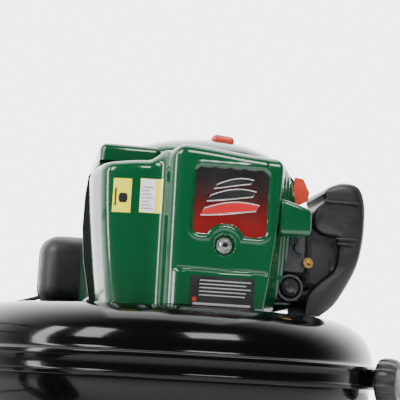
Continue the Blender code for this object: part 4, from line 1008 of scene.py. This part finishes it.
def make_rear_cover():
    """Hollow shroud behind the baffle, open below, with a raised corner over the muffler."""
    front, wall = BAFFLE_Y + 0.0022, 0.0025
    left, right, rear, roof = -0.1048, 0.0848, 0.0948, 0.3978
    outer = block((left, front - 0.03, 0.23), (right, rear, roof), 0.014, 6)
    inner = block((left + wall, front - 0.03, 0.22), (right - wall, rear - wall, roof - wall), 0.0115, 6)
    slab = block((-0.2, front - 0.1, 0.2), (0.2, front, 0.5))
    foot = block((-0.2, -0.2, 0.2), (0.2, 0.2, 0.268))
    shell = cut_from(outer, inner, slab, foot, cylinder(0.0585, 0.4, 0.06))
    raised = block((left, -0.066, 0.38), (-0.048, 0.03, 0.4083), 0.007, 6)
    under = block((-0.2, -0.2, 0.37), (0.2, 0.2, 0.3915))
    raised = cut_from(raised, cylinder(0.0815, 0.425, 0.06), under)
    finished("rear_cover_shell", merged(shell, raised), GREEN, "chassis", "rear_cover", 34)


def make_starter_grip():
    """Soft-edged bar on a short rope that comes out of the dome."""
    start = STARTER_EXIT + PULL_AXIS * 0.0024
    bar = block((-0.0112, -0.019, 0.0), (0.0104, 0.019, 0.0096), 0.0044, 6)
    for vert in bar.verts:
        vert.co.z -= 0.0012 * (1 - (vert.co.y / 0.019) ** 2) * (1 if vert.co.z > 0.005 else 0)
    tilt = Matrix.Rotation(math.radians(5.0), 4, "Y")
    moved(bar, Matrix.Translation(start) @ tilt)
    finished("starter_handle_grip", bar, ORANGE, "starter_grip", "starter_handle", 40)
    low, high = STARTER_EXIT - PULL_AXIS * 0.007, STARTER_EXIT + PULL_AXIS * 0.011
    rope = tube([low.lerp(high, step / 24) for step in range(25)], 0.0016, 12)
    obj = finished("starter_rope_strand", rope, RUBBER, "chassis", "starter_rope", 60, at_rest=False)
    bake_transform(obj)


def make_tyre(name, body, centre, radius, width):
    """Tyre with grooves round the tread and lugs on the shoulders."""
    half = width / 2
    inner = radius * 0.7
    profile = [(inner, half * 0.78), (inner + 0.002, half * 0.86), (radius * 0.8, half * 0.96)]
    profile += [(radius * 0.88, half * 0.985), (radius * 0.94, half * 0.93), (radius * 0.975, half * 0.8)]
    profile += [(radius * 0.99, half * 0.64)]
    count = 14
    for step in range(count + 1):
        y = half * 0.6 * (1 - 2 * step / count)
        groove = step in (3, 4, 10, 11)
        profile.append((radius * (0.999 - 0.012 * (y / half) ** 2) - (0.0022 if groove else 0.0), y))
    profile += [(r, -y) for r, y in reversed(profile[:7])]
    profile.append(profile[0])
    lugs = 60

    def tread(angle, index):
        if 4 <= index <= 8 or len(profile) - 10 <= index <= len(profile) - 6:
            return -0.0018 * (1 if (angle * lugs / (2 * math.pi)) % 1.0 < 0.35 else 0)
        return 0.0

    work = revolve(profile, 240, tread)
    moved(work, Matrix.Translation(centre) @ Matrix.Rotation(-math.pi / 2, 4, "X"))
    finished(name + "_treaded", work, TYRE, body, name, 26)


def make_rim(name, body, centre, radius, width, bore):
    """Moulded rim: barrel, thin web, ribs and a hub."""
    half = width / 2
    outer = radius * 0.7 - 0.0008
    hub = 0.018 if radius > 0.08 else 0.013
    profile = [(bore, half + 0.0018), (hub - 0.002, half + 0.0018), (hub, half), (hub + 0.001, 0.0075)]
    profile += [(hub + 0.004, 0.0055), (outer * 0.55, 0.0048), (outer * 0.76, 0.0052), (outer * 0.82, 0.0075)]
    profile += [(outer * 0.86, half * 0.66), (outer * 0.89, half * 0.74), (outer * 0.97, half * 0.75)]
    profile += [(outer, half * 0.7)]
    profile += [(r, -y) for r, y in reversed(profile)]
    profile.append(profile[0])
    work = revolve(profile, 96)
    ribs = []
    for step in range(6):
        for side in (-1, 1):
            near, far = sorted((side * 0.0045, side * (half * 0.6)))
            rib = block((hub - 0.001, near, -0.0022), (outer * 0.84, far, 0.0022), 0.0008, 2)
            for vert in rib.verts:
                if abs(vert.co.y) > 0.006:
                    reach = (vert.co.x - hub) / (outer * 0.84 - hub)
                    vert.co.y *= 1 - 0.45 * math.sin(math.pi * min(1.0, max(0.0, reach)))
            ribs.append(moved(rib, Matrix.Rotation(math.pi / 3 * step, 4, "Y")))
    moved(work, Matrix.Rotation(-math.pi / 2, 4, "X"))
    work = merged(work, *ribs)
    moved(work, Matrix.Translation(centre))
    finished(name + "_ribbed", work, BLACK_SATIN, body, name, 30)


def make_wheels():
    for name, side in (("near", -1), ("far", 1)):
        centre = AXLE + Vector((0, side * WHEEL_Y, 0))
        make_tyre(f"tyre_{name}", f"wheel_{name}", centre, 0.1, TYRE_WIDTH)
        make_rim(f"rim_{name}", f"wheel_{name}", centre, 0.1, TYRE_WIDTH, 0.0064)
    make_tyre("caster_tyre", "caster_wheel", CASTER, 0.065, 0.034)
    make_rim("caster_rim", "caster_wheel", CASTER, 0.065, 0.034, 0.005)


def upper_direction():
    return Vector((math.cos(UPPER_ANGLE), 0.0, math.sin(UPPER_ANGLE)))


def make_upper_bar():
    direction = upper_direction()
    foot, top = FOLD_PIVOT - direction * 0.035, FOLD_PIVOT + direction * UPPER_LENGTH
    corners = [Vector((foot.x, -UPPER_Y, foot.z)), Vector((top.x, -UPPER_Y, top.z))]
    corners += [Vector((top.x, UPPER_Y, top.z)), Vector((foot.x, UPPER_Y, foot.z))]
    work = tube(rounded(corners, 0.045, 12), 0.0109, 28)
    finished("handle_upper_tube", work, COAT, "handle", "handle_upper", 40)


def make_grips():
    """Ribbed foam sleeves on the crossbar."""
    centre = FOLD_PIVOT + upper_direction() * UPPER_LENGTH
    for name, side in (("near", -1), ("far", 1)):
        count = 90
        reaches = [side * (0.0425 + 0.095 * step / count) for step in range(count + 1)]
        points = [centre + Vector((0, reach, 0)) for reach in reaches]

        def swell(index):
            end = min(index, count - index)
            ridge = 0.965 + 0.035 * abs(math.cos(index * math.pi / 7.5))
            return ridge * (0.9 + 0.1 * between(end, 0, 3))

        work = tube(points, 0.0159, 32, True, swell)
        finished(f"hand_grip_{name}_sleeve", work, FOAM, "handle", f"hand_grip_{name}", 50)


def make_cable():
    """One outer cable from the lever to the throttle arm, curved past the handle's fold pivot."""
    centre, direction = FOLD_PIVOT + upper_direction() * UPPER_LENGTH, upper_direction()
    under = Vector((-direction.z, 0.0, direction.x)) * 0.016
    side = UPPER_Y - 0.022
    upper = [centre + Vector((0.023, 0.03, -0.005)), centre + Vector((0.033, 0.06, -0.015)),
             centre + Vector((0.042, 0.115, -0.03))]
    for distance, y in ((0.33, side), (0.2, side), (0.09, side - 0.01), (0.03, side - 0.028)):
        upper.append(FOLD_PIVOT + direction * distance + under + Vector((0, y, 0)))
    lower = [(-0.605, 0.14, 0.535), (-0.56, 0.133, 0.46), (-0.46, 0.135, 0.36), (-0.34, 0.162, 0.288),
             (-0.24, 0.186, 0.264), (-0.15, 0.189, 0.276), (-0.05, 0.187, 0.325), (0.03, 0.18, 0.37),
             (0.08, 0.135, 0.388), (0.096, 0.08, 0.37), (0.1, 0.03, 0.352), (0.098, -0.025, 0.345),
             (0.086, -0.052, 0.348), (0.069, -0.061, 0.356)]
    route = smooth_route([*upper, *[Vector(point) for point in lower]], 0.006)
    obj = finished("throttle_cable", tube(route, 0.0024, 12), RUBBER, "chassis",
                   ("throttle_cable_upper", "throttle_cable_lower"), 60, at_rest=False)
    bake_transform(obj)


def smooth_modifier_tree():
    """Node group that shades round faces smooth and leaves edges sharper than 35 degrees."""
    tree = bpy.data.node_groups.new("smooth_by_angle", "GeometryNodeTree")
    tree.interface.new_socket("Geometry", in_out="INPUT", socket_type="NodeSocketGeometry")
    tree.interface.new_socket("Geometry", in_out="OUTPUT", socket_type="NodeSocketGeometry")
    source, target = tree.nodes.new("NodeGroupInput"), tree.nodes.new("NodeGroupOutput")
    faces, edges = (tree.nodes.new("GeometryNodeSetShadeSmooth") for _ in range(2))
    edges.domain = "EDGE"
    edges.inputs["Shade Smooth"].default_value = False
    angle = tree.nodes.new("GeometryNodeInputMeshEdgeAngle")
    sharp = tree.nodes.new("FunctionNodeCompare")
    sharp.operation = "GREATER_THAN"
    sharp.inputs[1].default_value = math.radians(35.0)
    tree.links.new(angle.outputs["Unsigned Angle"], sharp.inputs[0])
    tree.links.new(source.outputs[0], faces.inputs["Geometry"])
    tree.links.new(faces.outputs[0], edges.inputs["Geometry"])
    tree.links.new(sharp.outputs[0], edges.inputs["Selection"])
    tree.links.new(edges.outputs[0], target.inputs[0])
    return tree


def dress_cad_nodes():
    """Gives every carried-over CAD node its finish."""
    slots = {entry["node"]: entry["material_slot"] for entry in frame["record"]["subparts"]}
    tree = smooth_modifier_tree()
    for name, obj in NODES.items():
        material = BY_SLOT[slots[name]]
        if name == "muffler":
            material = DARK_STEEL
        if name == "carburettor":
            material = DARK_CAST
        if name == "primer_bulb":
            material = SMOKED
        obj.data.materials.clear()
        obj.data.materials.append(material)
        obj.modifiers.new("smooth", "NODES").node_group = tree


make_camera()
make_studio()
dress_cad_nodes()
make_housing()
for knob, knob_angle in CLAMPS.items():
    make_clamp_knob(knob, knob_angle)
cover = make_front_cover()
make_badge(cover)
make_labels(cover)
make_cover_bolt()
make_filter_case()
make_tank()
make_starter_dome()
make_rear_cover()
make_starter_grip()
make_wheels()
make_upper_bar()
make_grips()
make_cable()
